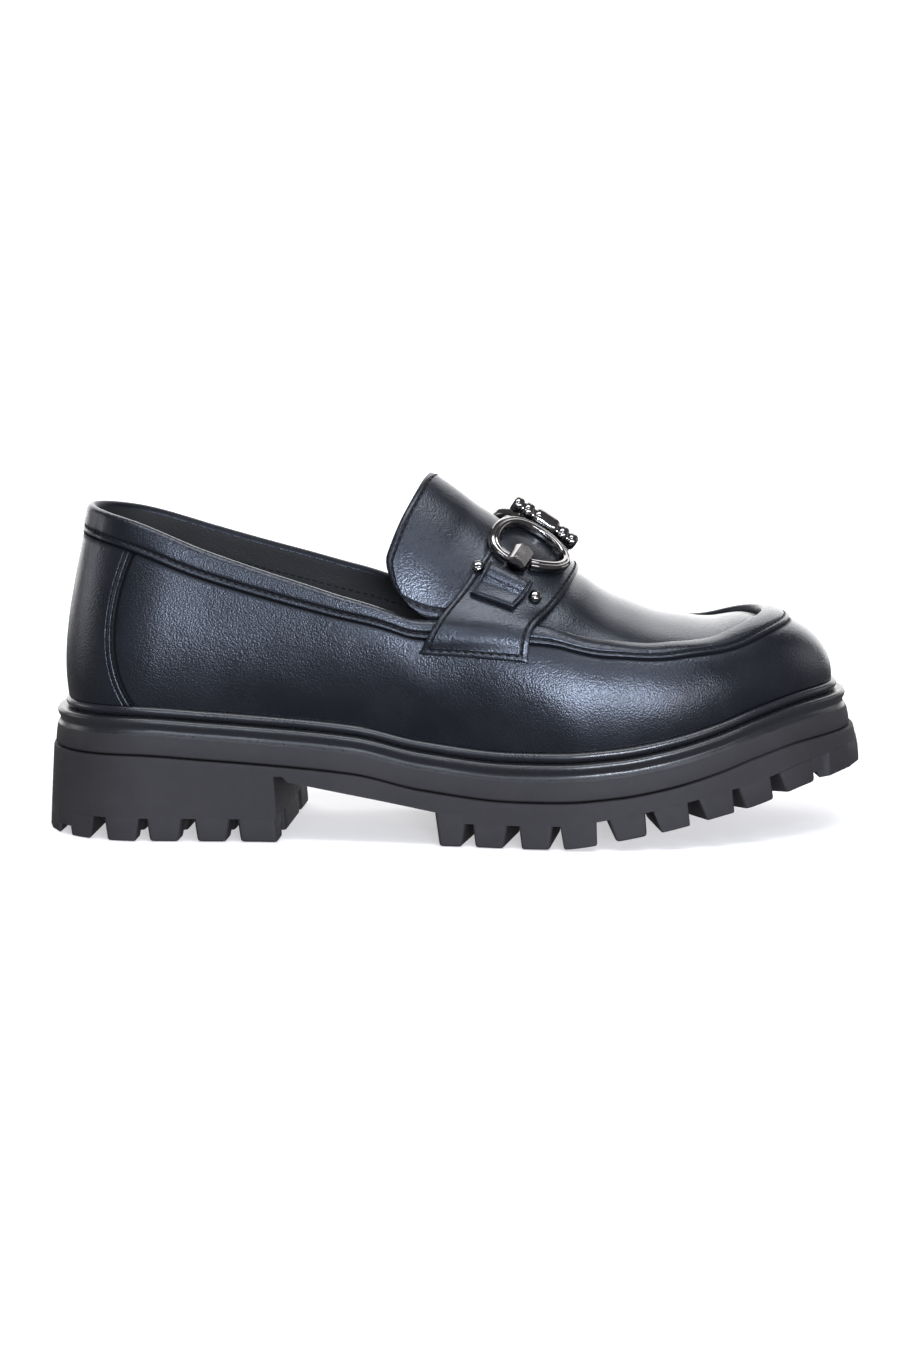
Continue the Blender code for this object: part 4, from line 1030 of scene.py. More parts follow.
def lug_block(rear, front, low_y, high_y, height, start=0.0, bevel=LUG_ROUND):
    """One lug as points and faces: rear and front are x(y, up), low_y and high_y are y(x, up)."""
    along = np.linspace(0, 1, LUG_STEPS)
    perimeter = [(a, 0.0) for a in along] + [(1.0, b) for b in along[1:-1]]
    perimeter += [(a, 1.0) for a in along[::-1]] + [(0.0, b) for b in along[::-1][1:-1]]
    size = len(perimeter)
    work = bmesh.new()
    rows = []
    for up in (start, mix(start, height, 0.5), height, height + LUG_LAP):
        ring = []
        for a, b in perimeter:
            y = 0.0
            for _ in range(4):
                x = mix(rear(y, up), front(y, up), a)
                y = mix(low_y(x, up), high_y(x, up), b)
            ring.append((x, y))
        ring = np.array(ring)
        if up > height:
            ring = ring.mean(0) + (ring - ring.mean(0)) * LAP_SHRINK
        points = stack(ring[:, 0], ring[:, 1], tread_level(ring[:, 0]) + up)
        rows.append([work.verts.new(p) for p in points])
    for lower, upper in zip(rows, rows[1:]):
        for i in range(size):
            j = (i + 1) % size
            work.faces.new((lower[i], lower[j], upper[j], upper[i]))
    work.faces.new(rows[0][::-1])
    work.faces.new(rows[-1])
    bmesh.ops.remove_doubles(work, verts=work.verts, dist=0.0002)
    bmesh.ops.recalc_face_normals(work, faces=work.faces)

    def over_tread(vertex):
        return vertex.co.z - float(tread_level(vertex.co.x))

    sharp = [e for e in work.edges if len(e.link_faces) == 2 and e.calc_face_angle() > LUG_EDGE]
    low = [e for e in sharp if max(map(over_tread, e.verts)) < height + LUG_LAP / 3]
    rounded = {"offset": bevel, "segments": 3, "profile": 0.6, "affect": "EDGES", "clamp_overlap": True}
    bmesh.ops.bevel(work, geom=low, **rounded)
    bmesh.ops.triangulate(work, faces=[f for f in work.faces if len(f.verts) > 4])
    vertices = [tuple(v.co) for v in work.verts]
    work.verts.index_update()
    faces = [[v.index for v in f.verts] for f in work.faces]
    work.free()
    return vertices, faces


def columns_of(channels):
    """Rows of blocks across the sole, split by channels given as (middle, width)."""
    edges = [lambda x, up: outline_y(x, -1, tread_level(x) + up)]
    for middle, width in channels:
        for sign in (-1, 1):
            edges.append(lambda x, up, y=middle + sign * width / 2: y)
    edges.append(lambda x, up: outline_y(x, 1, tread_level(x) + up))
    return list(zip(edges[::2], edges[1::2]))


HEEL_CHANNELS = ((-HEEL_CHANNEL_OFFSET, HEEL_CHANNEL_WIDTH), (CHANNEL_OFFSET, CHANNEL_WIDTH))
FORE_CHANNELS = ((-CHANNEL_OFFSET, CHANNEL_WIDTH), (CHANNEL_OFFSET, CHANNEL_WIDTH))
HEEL_BLOCK_TOP = 0.0222
BREAST = HEEL_LENGTH - SOLE_LENGTH / 2
FRONT = ARCH_END - SOLE_LENGTH / 2
SHALLOW = LUG_DEPTH * END_GAP_DEPTH
FIRST_LUG_RISE = 0.003  # the first fore lug stands against the arch, which is higher than the body there
HEEL_END_SIDES = (-0.1345, -0.1305)  # x where the last heel lug's outer and inner sides are taken
TOE_END_SIDES = (0.1265, 0.1225)
TOE_END_X, TOE_SIDE_X = 0.13, 0.12  # where the tread's level is read for the toe's end and sides
HEEL_STEPS, BREAST_STEPS = 200, 26


def gap_width(i):
    return (LUG_GAP_NARROW, LUG_GAP_WIDE)[i % 2]


def end_lines(front, places, end_level, side_level):
    """The sole's toe or back end as x(y, up), and the outer and inner sides beside it as y(x, up)."""

    def end(y, up):
        return float(outline_end(y, front, end_level + up))

    def outer(_, up):
        return outline_y(places[0], -1, side_level + up)

    def inner(_, up):
        return outline_y(places[1], 1, side_level + up)

    return end, outer, inner


def add_heel_lugs(parts):
    places = heel_gap_places(BREAST)
    lines = [lambda y, up: BREAST + HEEL_TURN * y + BREAST_LEAN * (1 - up / ARCH_REAR)]
    for i, place in enumerate(places):
        lines += [gap_edge(place, gap_width(i), sign, HEEL_TURN) for sign in (1, -1)]
    for front, rear in zip(lines[::2], lines[1::2]):
        for low_y, high_y in columns_of(HEEL_CHANNELS):
            parts.take(*lug_block(rear, front, low_y, high_y, LUG_DEPTH))
    back_gap = places[-1] - HEEL_PITCH * HEEL_LAST_PITCH
    first, second = (gap_edge(back_gap, LUG_GAP_NARROW, sign, HEEL_TURN) for sign in (1, -1))
    across = columns_of(())[0]
    parts.take(*lug_block(first, lines[-1], *across, LUG_DEPTH))
    end, outer, inner = end_lines(False, HEEL_END_SIDES, 0.0, 0.0)
    parts.take(*lug_block(end, second, outer, inner, LUG_DEPTH))
    fill = shifted(second, -FILL_LAP), shifted(first, FILL_LAP)
    parts.take(*lug_block(*fill, *across, LUG_DEPTH, SHALLOW, FILL_ROUND))


def add_fore_lugs(parts):
    places = fore_gap_places(FRONT)
    lines = [lambda y, up: FRONT + BREAST_LEAN * (1 - up / ARCH_FRONT)]
    for i, place in enumerate(places):
        turn = float(TURN.at("turn", share_of(place)))
        middle, fan = gap_middle(place), fan_at(place)
        lines += [gap_edge(middle, gap_width(i), sign, turn, fan) for sign in (-1, 1)]
    for i, (rear, front) in enumerate(zip(lines[::2], lines[1::2])):
        height = LUG_DEPTH + (FIRST_LUG_RISE if i == 0 else 0)
        for low_y, high_y in columns_of(FORE_CHANNELS if i < len(places) - 1 else ()):
            parts.take(*lug_block(rear, front, low_y, high_y, height))
    levels = (float(tread_level(x)) for x in (TOE_END_X, TOE_SIDE_X))
    end, outer, inner = end_lines(True, TOE_END_SIDES, *levels)
    parts.take(*lug_block(lines[-1], end, outer, inner, LUG_DEPTH))
    fill = shifted(lines[-2], -FILL_LAP), shifted(lines[-1], FILL_LAP)
    parts.take(*lug_block(*fill, *columns_of(())[0], LUG_DEPTH, SHALLOW, FILL_ROUND))


def heel_ring(z, shrink):
    """The heel block's outline at height z: round the back, then straight across the breast."""
    ends = []
    for side in (1, -1):
        y = float(outline_y(np.array(BREAST), side, z))
        x = BREAST + HEEL_TURN * y + BREAST_LEAN * (1 - z / ARCH_REAR)
        along = float(share_of(np.array(x)))
        ends.append(float(place_on_loop(along, side)) - (1 if side > 0 else 0))
    ws = mix(ends[0], ends[1], np.linspace(0, 1, HEEL_STEPS))
    xy, outward = plan_point(ws, 0 * ws)
    xy = xy - outward * col(wall_inset(xy[:, 0], z) * flare_at(ws) + shrink)
    breast = mix(xy[-1], xy[0], col(np.linspace(0, 1, BREAST_STEPS)[1:-1]))
    ring = np.concatenate([xy, breast])
    return stack(ring[:, 0], ring[:, 1], z)


def add_heel_block(parts):
    rows = (
        (LUG_DEPTH, 0.0),
        (LUG_DEPTH + 0.005, 0.0),
        (LUG_DEPTH + 0.010, 0.0),
        (HEEL_BLOCK_TOP, 0.0),
        (HEEL_BLOCK_TOP + 0.001, 0.0008),
    )
    parts.take(*closed_tube([heel_ring(z, shrink) for z, shrink in rows]))


def add_sole_body(parts):
    x = plan_point(AROUND, 0 * AROUND)[0][:, 0]
    arch = mix(ARCH_REAR, ARCH_FRONT, np.clip((x - BREAST) / (FRONT - BREAST), 0, 1))
    fore = mix(ARCH_FRONT, tread_level(x) + LUG_DEPTH, smooth(x, FRONT, FRONT + 0.008))
    underside = np.where(x < BREAST, HEEL_BLOCK_TOP, np.where(x < FRONT, arch, fore))
    top = notch_level(x) - NOTCH_HEIGHT / 2 - GAP / 2
    # Share of the height, and extra inset
    rows = (
        (0.0, 0.0),
        (0.33, 0.0),
        (0.66, 0.0),
        (0.90, 0.0),
        (0.975, 0.0001),
        (0.993, 0.0003),
        (1.0, 0.0007),
        (1.0, 0.0030),
    )
    rings = []
    for share, extra in rows:
        z = mix(underside, top, share)
        xy, _ = plan_point(AROUND, wall_inset(x, z) * flare_at(AROUND) + extra)
        rings.append(stack(xy[:, 0], xy[:, 1], z))
    size = len(AROUND)
    faces = tube_faces(len(rings), size)
    faces += strip_cap(0, size) + strip_cap(size * (len(rings) - 1), size)
    parts.take(np.concatenate(rings), faces)


def build_outsole():
    """Lugs under a heel block and a body, which they run up into."""
    parts = Parts()
    add_heel_lugs(parts)
    add_fore_lugs(parts)
    add_heel_block(parts)
    add_sole_body(parts)
    obj = make_mesh("outsole_lugs", parts.vertices, parts.faces, [RUBBER], sharp=32, merge=1e-7)
    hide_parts("outsole")


# The upper

HALF_STEPS = 200
WALL_ROWS = 34
STEP_ROWS = 7
BAND_ROWS = 22
RIM_ROWS = 9
LINING_ROWS = 22
APRON_STEPS = 56
GROOVE = 0.00040  # depth of the leather drawn down by a row of stitches
GROOVE_HALF = 0.0006
COUNTER_EDGE = 0.0003  # half the width of the step at the counter's edge
LINING_ROW = 0.85  # of the band's width, from the rim down to the row of stitches in the lining


def groove(distance):
    """0 away from a row of stitches, 1 on it."""
    return np.exp(-((distance / GROOVE_HALF) ** 2))


COUNTER_FINE = (-0.0105, 0.003)  # from the counter's edge, where the columns lie close together
COUNTER_COLUMNS = 36
CLEARANCE = 0.0007  # between an added column and the even ones


def loop_places():
    """The columns' places on the outer half of the loop, and which of them is the throat."""
    half = np.linspace(0, 0.5, HALF_STEPS + 1)
    fine = COUNTER_SEAM + np.linspace(*COUNTER_FINE, COUNTER_COLUMNS)
    half = half[(half < fine[0] - CLEARANCE) | (half > fine[-1] + CLEARANCE)]
    throat_w = math.acos(1 - 2 * THROAT) / (2 * math.pi)
    half = np.sort(np.concatenate([half[np.abs(half - throat_w) > CLEARANCE], fine, [throat_w]]))
    return half, int(np.argmin(np.abs(half - throat_w)))


def crease_depth(w, v):
    """How deep the leather is creased, in metres."""
    total = np.zeros(np.broadcast(w, v).shape)
    for place, height, spread, tall, depth in CREASES:
        near = (w - place) / spread
        up = (v - height) / tall
        total += depth * MM * np.exp(-(near**2) - up**2) * np.cos(near * 2.2)
    return total


def counter_relief(w, run):
    """The counter's overlaid edge with its two rows of stitches: lift, painted shade and mm behind the
    edge.
    run is the wall's metres for a whole turn of w."""
    near = np.where(w <= 0.5, w, 1 - w)
    distance = (near - COUNTER_SEAM) * run
    lift = COUNTER_LIFT * (1 - smooth(distance, -COUNTER_EDGE, COUNTER_EDGE))
    rows = groove(distance + COUNTER_ROWS[0]) + groove(distance + COUNTER_ROWS[1])
    # painted shade on the quarter just beside the counter's overlaid edge
    crevice_shade = 1.2 * np.exp(-(((distance - COUNTER_EDGE) / (2 * COUNTER_EDGE)) ** 2))
    return lift - GROOVE * rows, crevice_shade, -distance / MM


LOOP_RUN = 0.62  # metres of wall for a whole turn of w, near the counter
STEP_HALF = 0.0005  # half the height of the step at the band's lower edge
FRONT_ROLL, BAND_ROLL = 0.00055, 0.00022  # how far the roll round the apron and the collar band swell
ROLL_TOP = 0.0010  # from the top of the wall down to where the roll turns over to the apron
ROLL_RISE, ROLL_FALL, ROLL_LEAN = 0.0014, 0.0022, 0.0002  # the roll's handles, up, down and inward
NO_SEAM = -9.0  # mm, what the seam attribute holds on the band


def outside_column_values(w, front):
    """For all columns at once: places up the wall, lifts, painted shade in crevices, the columns' lengths,
    and the millimetres from the band's lower edge and from the counter's edge."""
    length = wall_length(w)
    band = 1 - BAND_WIDTH * WALL.at("band", along_of(w)[0]) / length
    run = STEP_HALF / length
    s = np.linspace(0, 1, WALL_ROWS)
    wall_v = s[None, :] * (band - run)[:, None]
    t = np.linspace(0, 1, STEP_ROWS + 2)[1:-1]
    step_v = mix((band - run)[:, None], (band + run)[:, None], t[None, :])
    top = 1 - np.where(front, ROLL_TOP, (UPPER_WALL + BAND_LIFT) / 2) / length
    u = np.linspace(0, 1, BAND_ROWS)
    band_v = mix((band + run)[:, None], top[:, None], u[None, :])
    v = np.concatenate([wall_v, step_v, band_v], 1)
    from_edge = (v - band[:, None]) * length[:, None]
    lift = BAND_LIFT * smooth(from_edge, -0.0004, STEP_HALF)
    across = np.clip(from_edge / (BAND_WIDTH * 0.9), 0, 1)
    roll = np.where(front[:, None], FRONT_ROLL, BAND_ROLL) * np.sin(math.pi * across)
    lift = lift + roll * (from_edge > 0)
    lift = lift - GROOVE * groove(from_edge - STITCH_INSET)
    # painted shade just under the collar band's raised lower edge
    crevice_shade = 0.9 * np.exp(-(((from_edge + 0.0003) / 0.0004) ** 2))
    counter, counter_dark, seam = counter_relief(w[:, None] * np.ones_like(v), LOOP_RUN)
    below = from_edge < 0
    lift = lift + np.where(below, counter, 0)
    crevice_shade = crevice_shade + np.where(below, counter_dark, 0)
    lift = lift - crease_depth(w[:, None], v) * smooth(1 - v, 0.0, 0.05) * smooth(v, 0.0, 0.06)
    return v, lift, np.clip(crevice_shade, 0, 1), length, from_edge / MM, np.where(below, seam, NO_SEAM)


def build_upper():
    half, throat = loop_places()
    loop = np.concatenate([half, 1 - half[-2:0:-1]])
    count, tip = len(loop), len(half) - 1
    index = np.arange(count)
    front = (index >= throat) & (index <= count - throat)
    v, lift, dark, length, from_edge, seam = outside_column_values(loop, front)
    w = loop[:, None] * np.ones_like(v)
    normal = wall_normal(w, v)
    outer = wall_point(w, v) + normal * col(lift)

    # Over the rim: a rounded edge at the collar, a roll down to the apron in front
    top_v = v[:, -1]
    top_point = wall_point(loop, top_v)
    top_normal = wall_normal(loop, top_v)
    rise = unit(wall_point(loop, top_v) - wall_point(loop, top_v - 0.02))
    thick = UPPER_WALL + BAND_LIFT
    centre = top_point + top_normal * (BAND_LIFT - thick / 2)
    rim_rows = []
    along, side = along_of(loop)
    groove_point = apron_point(along, side)
    over = outer[:, -1]
    first = over + rise * ROLL_RISE
    second = groove_point + np.array([0, 0, ROLL_FALL]) - top_normal * ROLL_LEAN
    for k in range(1, RIM_ROWS + 1):
        angle = math.pi * k / (RIM_ROWS + 1)
        spoke = top_normal * math.cos(angle) + rise * math.sin(angle)
        round_point = centre + spoke * (thick / 2)
        share = np.full(count, k / RIM_ROWS)
        rolled = bezier((over, first, second, groove_point), share)
        rim_rows.append(np.where(col(front), rolled, round_point))
    rim = np.stack(rim_rows, 1)
    outside = np.concatenate([outer, rim], 1)
    over_rim = np.linspace(0, 1, RIM_ROWS)[None, :]
    # painted shade over the rim: down into the groove at the apron in front, and on the inner half of the
    # collar's rounded edge
    rim_dark = np.where(front[:, None], over_rim**3, 0.7 * smooth(over_rim, 0.45, 0.8))
    dark = np.concatenate([dark, rim_dark], 1)
    beyond = np.full(rim_dark.shape, FAR)
    from_edge = np.concatenate([from_edge, beyond], 1)
    seam = np.concatenate([seam, -beyond], 1)

    # The lining, from the rim down
    inner_top = np.where(front, 1 - 1.2 * UPPER_WALL / length, top_v)
    inner_v = inner_top[:, None] * np.linspace(1, 0, LINING_ROWS)[None, :]
    inner_w = loop[:, None] * np.ones_like(inner_v)
    inner = wall_point(inner_w, inner_v) - wall_normal(inner_w, inner_v) * UPPER_WALL
    down = (inner_top[:, None] - inner_v) * length[:, None]
    # painted shade along the lining's row of stitches
    inner_dark = 0.8 * groove(down - BAND_WIDTH * LINING_ROW)

    vertices = [outside.reshape(-1, 3), inner.reshape(-1, 3)]
    crevice_shade = [dark.ravel(), inner_dark.ravel()]
    edges = [from_edge.ravel(), np.full(inner_dark.size, FAR)]
    seams = [seam.ravel(), np.full(inner_dark.size, -FAR)]
    rows_out, rows_in = outside.shape[1], inner.shape[1]
    base_in = count * rows_out
    out_id = lambda i, j: (i % count) * rows_out + j
    in_id = lambda i, j: base_in + (i % count) * rows_in + j
    faces, slots = [], []
    last_out, last_in = rows_out - 1, rows_in - 1
    for i in range(count):
        k = i + 1
        for j in range(last_out):
            faces.append((out_id(i, j), out_id(k, j), out_id(k, j + 1), out_id(i, j + 1)))
            slots.append(0)
        for j in range(last_in):
            faces.append((in_id(i, j), in_id(k, j), in_id(k, j + 1), in_id(i, j + 1)))
            slots.append(1)
        faces.append((out_id(i, 0), out_id(k, 0), in_id(k, last_in), in_id(i, last_in)))
        slots.append(1)
        if not (front[i] and front[k % count]):
            faces.append((out_id(i, last_out), out_id(k, last_out), in_id(k, 0), in_id(i, 0)))
            slots.append(0)

    # The apron between the two sides, outside and inside
    total = count * (rows_out + rows_in)
    q = np.linspace(-1, 1, APRON_STEPS + 1)[1:-1]
    q = np.sign(q) * np.abs(q) ** 0.85
    stations = along_of(half[throat:tip])[0]
    grid_along, grid_q = np.meshgrid(stations, q, indexing="ij")
    skin = apron_point(grid_along, grid_q)
    skin_normal = apron_normal(grid_along, grid_q)
    crossings = []
    for depth, id_of, last, slot in ((0.0, out_id, last_out, 0), (UPPER_WALL, in_id, 0, 1)):
        grid = skin - skin_normal * depth
        base = total
        vertices.append(grid.reshape(-1, 3))
        # painted shade on the apron along its edges, in the groove beside the roll
        edge_dark = np.exp(-(((1 - np.abs(grid_q)) / 0.03) ** 2)) * 0.5 if depth == 0 else 0 * grid_q
        crevice_shade.append(edge_dark.ravel())
        edges.append(np.full(edge_dark.size, FAR))
        seams.append(np.full(edge_dark.size, -FAR))
        total += grid.shape[0] * grid.shape[1]
        rows = []
        for k in range(len(stations)):
            i = throat + k
            between = [base + k * len(q) + m for m in range(len(q))]
            rows.append([id_of(i, last), *between, id_of(count - i, last)])
        for near, far in zip(rows, rows[1:]):
            for m in range(len(near) - 1):
                faces.append((near[m], near[m + 1], far[m + 1], far[m]))
                slots.append(slot)
        for m in range(len(rows[-1]) - 1):
            faces.append((rows[-1][m], rows[-1][m + 1], id_of(tip, last)))
            slots.append(slot)
        crossings.append(rows[0])
    for m in range(len(crossings[0]) - 1):
        faces.append((crossings[0][m], crossings[0][m + 1], crossings[1][m + 1], crossings[1][m]))
        slots.append(0)
    lists = {"crevice_shade": crevice_shade, "edge": edges, "seam": seams}
    attributes = {key: np.concatenate(values) for key, values in lists.items()}
    leathers = [LEATHER, LINING]
    points = np.concatenate(vertices)
    obj = make_mesh("upper_shell", points, faces, leathers, slots, sharp=60, attributes=attributes)
    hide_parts("upper")


# The tongue


TONGUE_LENGTH = 0.043
TONGUE_HALF = 0.030
SHEET_ROUND = 0.0006


def tongue_place(share, p):
    """The apron's place for a share of the tongue's length and p across it."""
    forward = np.where(p < 0, TONGUE.at("lateral", np.abs(p)), TONGUE.at("medial", np.abs(p)))
    top = TONGUE_TOP + (THROAT - TONGUE_TOP) * forward
    return mix(THROAT, top, share), p * TONGUE_REACH


def tongue_base(share, p):
    along, q = tongue_place(share, p)
    wing = TONGUE_TUCK * np.abs(p) ** 5
    point = apron_point(along, q) - apron_normal(along, q) * col(UPPER_WALL + wing)
    return point - stack(GAP * (1 - share), 0 * share, 0 * share)


def tongue_normal(share, p):
    along, q = tongue_place(share, p)
    return apron_normal(along, q)


def build_tongue():
    us = np.concatenate([np.linspace(0, 0.93, 46), [0.955, 0.975, 0.99, 1.0]])
    vs = edge_spaced(-1, 1, 90, 0.03)

    def from_edge(u, v):
        return np.minimum((1 - u) * TONGUE_LENGTH, (1 - np.abs(v)) * TONGUE_HALF)

    size = (UPPER_WALL, SHEET_ROUND)
    obj = rounded_sheet("tongue_sheet", tongue_base, tongue_normal, us, vs, *size, from_edge)
    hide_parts("tongue")


# The strap


STRAP_RAMP = 0.0012  # over which the strap comes down from the collar band to the wall
STRAP_WALL_POINTS, STRAP_TOP_POINTS = 12, 21


class StrapSheet:
    """The strap's underside, read by place along the rim and by share of the way from crest to end."""

    def __init__(self, stations=37, samples=241):
        self.places = np.linspace(STRAP_REAR, STRAP_FRONT, stations)
        self.shares = np.linspace(-1, 1, samples)
        rows, halves = [], []
        for along in self.places:
            path = self.path(along)
            run = np.concatenate([[0], np.cumsum(np.linalg.norm(np.diff(path, axis=0), axis=1))])
            middle = run[len(path) // 2]
            reach = np.where(self.shares < 0, middle, run[-1] - middle)
            at = middle + self.shares * reach
            rows.append(np.stack([np.interp(at, run, path[:, k]) for k in range(3)], 1))
            halves.append((middle, run[-1] - middle))
        self.grid = np.array(rows)
        for _ in range(4):
            self.grid[:, 1:-1] = self.grid[:, 1:-1] * 0.5 + (self.grid[:, :-2] + self.grid[:, 2:]) * 0.25
        self.halves = np.array(halves)
        forward = np.gradient(self.grid, axis=0)
        across = np.gradient(self.grid, axis=1)
        self.normals = unit(np.cross(forward, across))

    @staticmethod
    def path(along):
        share = (along - STRAP_REAR) / (STRAP_FRONT - STRAP_REAR)
        lowest = mix(STRAP_DROP_REAR, STRAP_DROP_FRONT, share)
        sweep = mix(STRAP_SWEEP_REAR, STRAP_SWEEP_FRONT, share)
        wings = []
        for side in (-1, 1):
            drop = np.linspace(lowest, BAND_LIFT * 2, STRAP_WALL_POINTS)
            w = place_on_loop(along - sweep * drop / lowest, side)
            v = 1 - drop / wall_length(w)
            past_band = drop - BAND_WIDTH * WALL.at("band", along) - STRAP_RAMP
            on_band = np.clip(1 - past_band / STRAP_RAMP, 0, 1)
            lift = 2 * GAP + BAND_LIFT * on_band
            wall = wall_point(w, v) + wall_normal(w, v) * col(lift)
            edge = np.array([float(place_on_loop(along, side))])
            inside = apron_normal(np.array([along]), np.array([side * 0.93]))
            lean = unit(wall_normal(edge, np.ones(1)) + inside)
            over = rim_point(edge) + lean * (BAND_LIFT + 5 * GAP)
            q = side * np.linspace(0.82, 0, STRAP_TOP_POINTS)
            vamp = apron_point(along, q) + apron_normal(np.full(q.shape, along), q) * 2 * GAP
            wings.append(np.concatenate([wall, over, vamp]))
        path = np.concatenate([wings[0], wings[1][-2::-1]])
        for _ in range(3):
            path[1:-1] = path[1:-1] * 0.5 + (path[:-2] + path[2:]) * 0.25
        return path

    def read(self, grid, along, share):
        along, share = np.broadcast_arrays(np.asarray(along, float), np.asarray(share, float))
        i = (along - self.places[0]) / (self.places[1] - self.places[0])
        j = (share + 1) / 2 * (len(self.shares) - 1)
        i0 = np.clip(np.floor(i), 0, len(self.places) - 2).astype(int)
        j0 = np.clip(np.floor(j), 0, len(self.shares) - 2).astype(int)
        s, t = col(i - i0), col(j - j0)
        near = mix(grid[i0, j0], grid[i0, j0 + 1], t)
        far = mix(grid[i0 + 1, j0], grid[i0 + 1, j0 + 1], t)
        return mix(near, far, s)

    def point(self, along, share):
        return self.read(self.grid, along, share)

    def normal(self, along, share):
        return unit(self.read(self.normals, along, share))

    def lifted(self, along, share, lift):
        return self.point(along, share) + self.normal(along, share) * col(lift)

    def place(self, side, forward, outward, lift):
        """A point over the strap: metres forward along the instep and outward from the crest."""
        middle = (STRAP_REAR + STRAP_FRONT) / 2
        half = np.interp(middle, self.places, self.halves[:, 0 if side < 0 else 1])
        share = side * np.asarray(outward, float) / half
        step = 0.01
        span = self.point(middle + step, share) - self.point(middle - step, share)
        rate = np.linalg.norm(span, axis=-1) / (2 * step)
        return self.lifted(middle + forward / rate, share, STRAP_WALL + lift)


SHEET = StrapSheet()
STRAP_HALF = float(SHEET.halves.mean())
STRAP_WIDTH = 0.0315


def build_strap():
    us = edge_spaced(STRAP_REAR, STRAP_FRONT, 40, 0.0045)
    vs = edge_spaced(-1, 1, 200, 0.018)

    def from_edge(u, v):
        side = np.minimum(u - STRAP_REAR, STRAP_FRONT - u) / (STRAP_FRONT - STRAP_REAR) * STRAP_WIDTH
        return np.minimum(side, (1 - np.abs(v)) * STRAP_HALF)

    size = (STRAP_WALL, SHEET_ROUND)
    obj = rounded_sheet("strap_sheet", SHEET.point, SHEET.normal, us, vs, *size, from_edge)
    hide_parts("saddle_strap")


# The keepers and the bit


def keeper_place(side, forward, outward, lift):
    """A point over the strap in a keeper's own lengths, along the foot and outward."""
    return SHEET.place(
        side,
        BIT_SHIFT + forward + (outward - KEEPER_LENGTH / 4) * KEEPER_LEAN,
        KEEPER_START + outward + forward * KEEPER_TURN,
        lift,
    )


FOLD = Table(
    ("along", "height"),
    [
        (0.00, 0.40),
        (0.04, 0.72),
        (0.12, 0.93),
        (0.24, 1.00),
        (0.36, 0.92),
        (0.48, 0.72),
        (0.58, 0.60),
        (0.96, 0.55),
        (1.00, 0.42),
    ],
)


KEEPER_ROW = 0.0009  # from a keeper's edge to its row
KEEPER_SINK = (0.0007, 0.00026, 0.00008, 0.0)  # of its side edges, at their outer four columns


def build_keeper(name, side):
    """A leather tab folded over the knob's pin, with two layers showing at its free end."""
    outward = edge_spaced(0, KEEPER_LENGTH, 34, 0.0012)
    forward = edge_spaced(-KEEPER_WIDTH / 2, KEEPER_WIDTH / 2, 30, 0.0011)
    o, f = np.meshgrid(outward, forward, indexing="ij")
    sink = np.choose(np.minimum(steps_from_rim(len(forward)), 3), KEEPER_SINK)[None, :]
    height = KEEPER_HEIGHT * FOLD.at("height", o / KEEPER_LENGTH) - sink
    top = keeper_place(side, f, o, height)
    under = keeper_place(side, f, o, GAP)
    from_edge = np.minimum(KEEPER_LENGTH - o, KEEPER_WIDTH / 2 - np.abs(f)) + STITCH_INSET - KEEPER_ROW
    obj = grid_solid(f"keeper_tab_{name}", [top, under], [LEATHER], {"edge": (from_edge / MM, FAR)})
    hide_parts(f"keeper_{name}")


def turned_rings(start, axis, profile, steps):
    """Rings round an axis from a start. profile holds (distance along it, radius)."""
    axis = Vector(axis).normalized()
    side = axis.orthogonal().normalized()
    other = axis.cross(side)
    angles = 2 * math.pi * np.arange(steps) / steps
    spokes = np.outer(np.cos(angles), side) + np.outer(np.sin(angles), other)
    return [np.asarray(start) + np.array(axis) * d + spokes * r for d, r in profile]


def metal_loft(name, rings, sharp=30.0):
    return make_mesh(name, *closed_tube(rings), [METAL], sharp=sharp)


def build_studs(name, side):
    for end, sign in (("rear", -1), ("front", 1)):
        forward = sign * (KEEPER_WIDTH / 2 + STUD_RADIUS + GAP * 2)
        base = keeper_place(side, forward, KEEPER_LENGTH / 4, GAP)
        tip = keeper_place(side, forward, KEEPER_LENGTH / 4, STUD_HEIGHT * 1.25)
        height = float(np.linalg.norm(tip - base))
        profile = [(0, STUD_RADIUS * 0.80), (height * 0.12, STUD_RADIUS * 0.94)]
        for angle in np.linspace(0, 84, 12):
            a = math.radians(angle)
            profile.append((height * (0.30 + 0.70 * math.sin(a)), STUD_RADIUS * math.cos(a) ** 0.8))
        rings = turned_rings(base, tip - base, profile, 32)
        obj = metal_loft(f"stud_head_{name}_{end}", rings)
        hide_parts(f"stud_{name}_{end}")


# Half a wire's section: out from the ring's middle, and up from the strap, in shares of the wire's size.
WIRE_SECTION = (
    (0.50, -0.36), (0.44, -0.46), (0.30, -0.50), (-0.30, -0.50), (-0.44, -0.46), (-0.50, -0.36),
    (-0.50, 0.16), (-0.46, 0.30), (-0.36, 0.40), (-0.16, 0.46), (-0.06, 0.44), (0.00, 0.36),
    (0.06, 0.44), (0.16, 0.46), (0.36, 0.40), (0.46, 0.30), (0.50, 0.16),
)


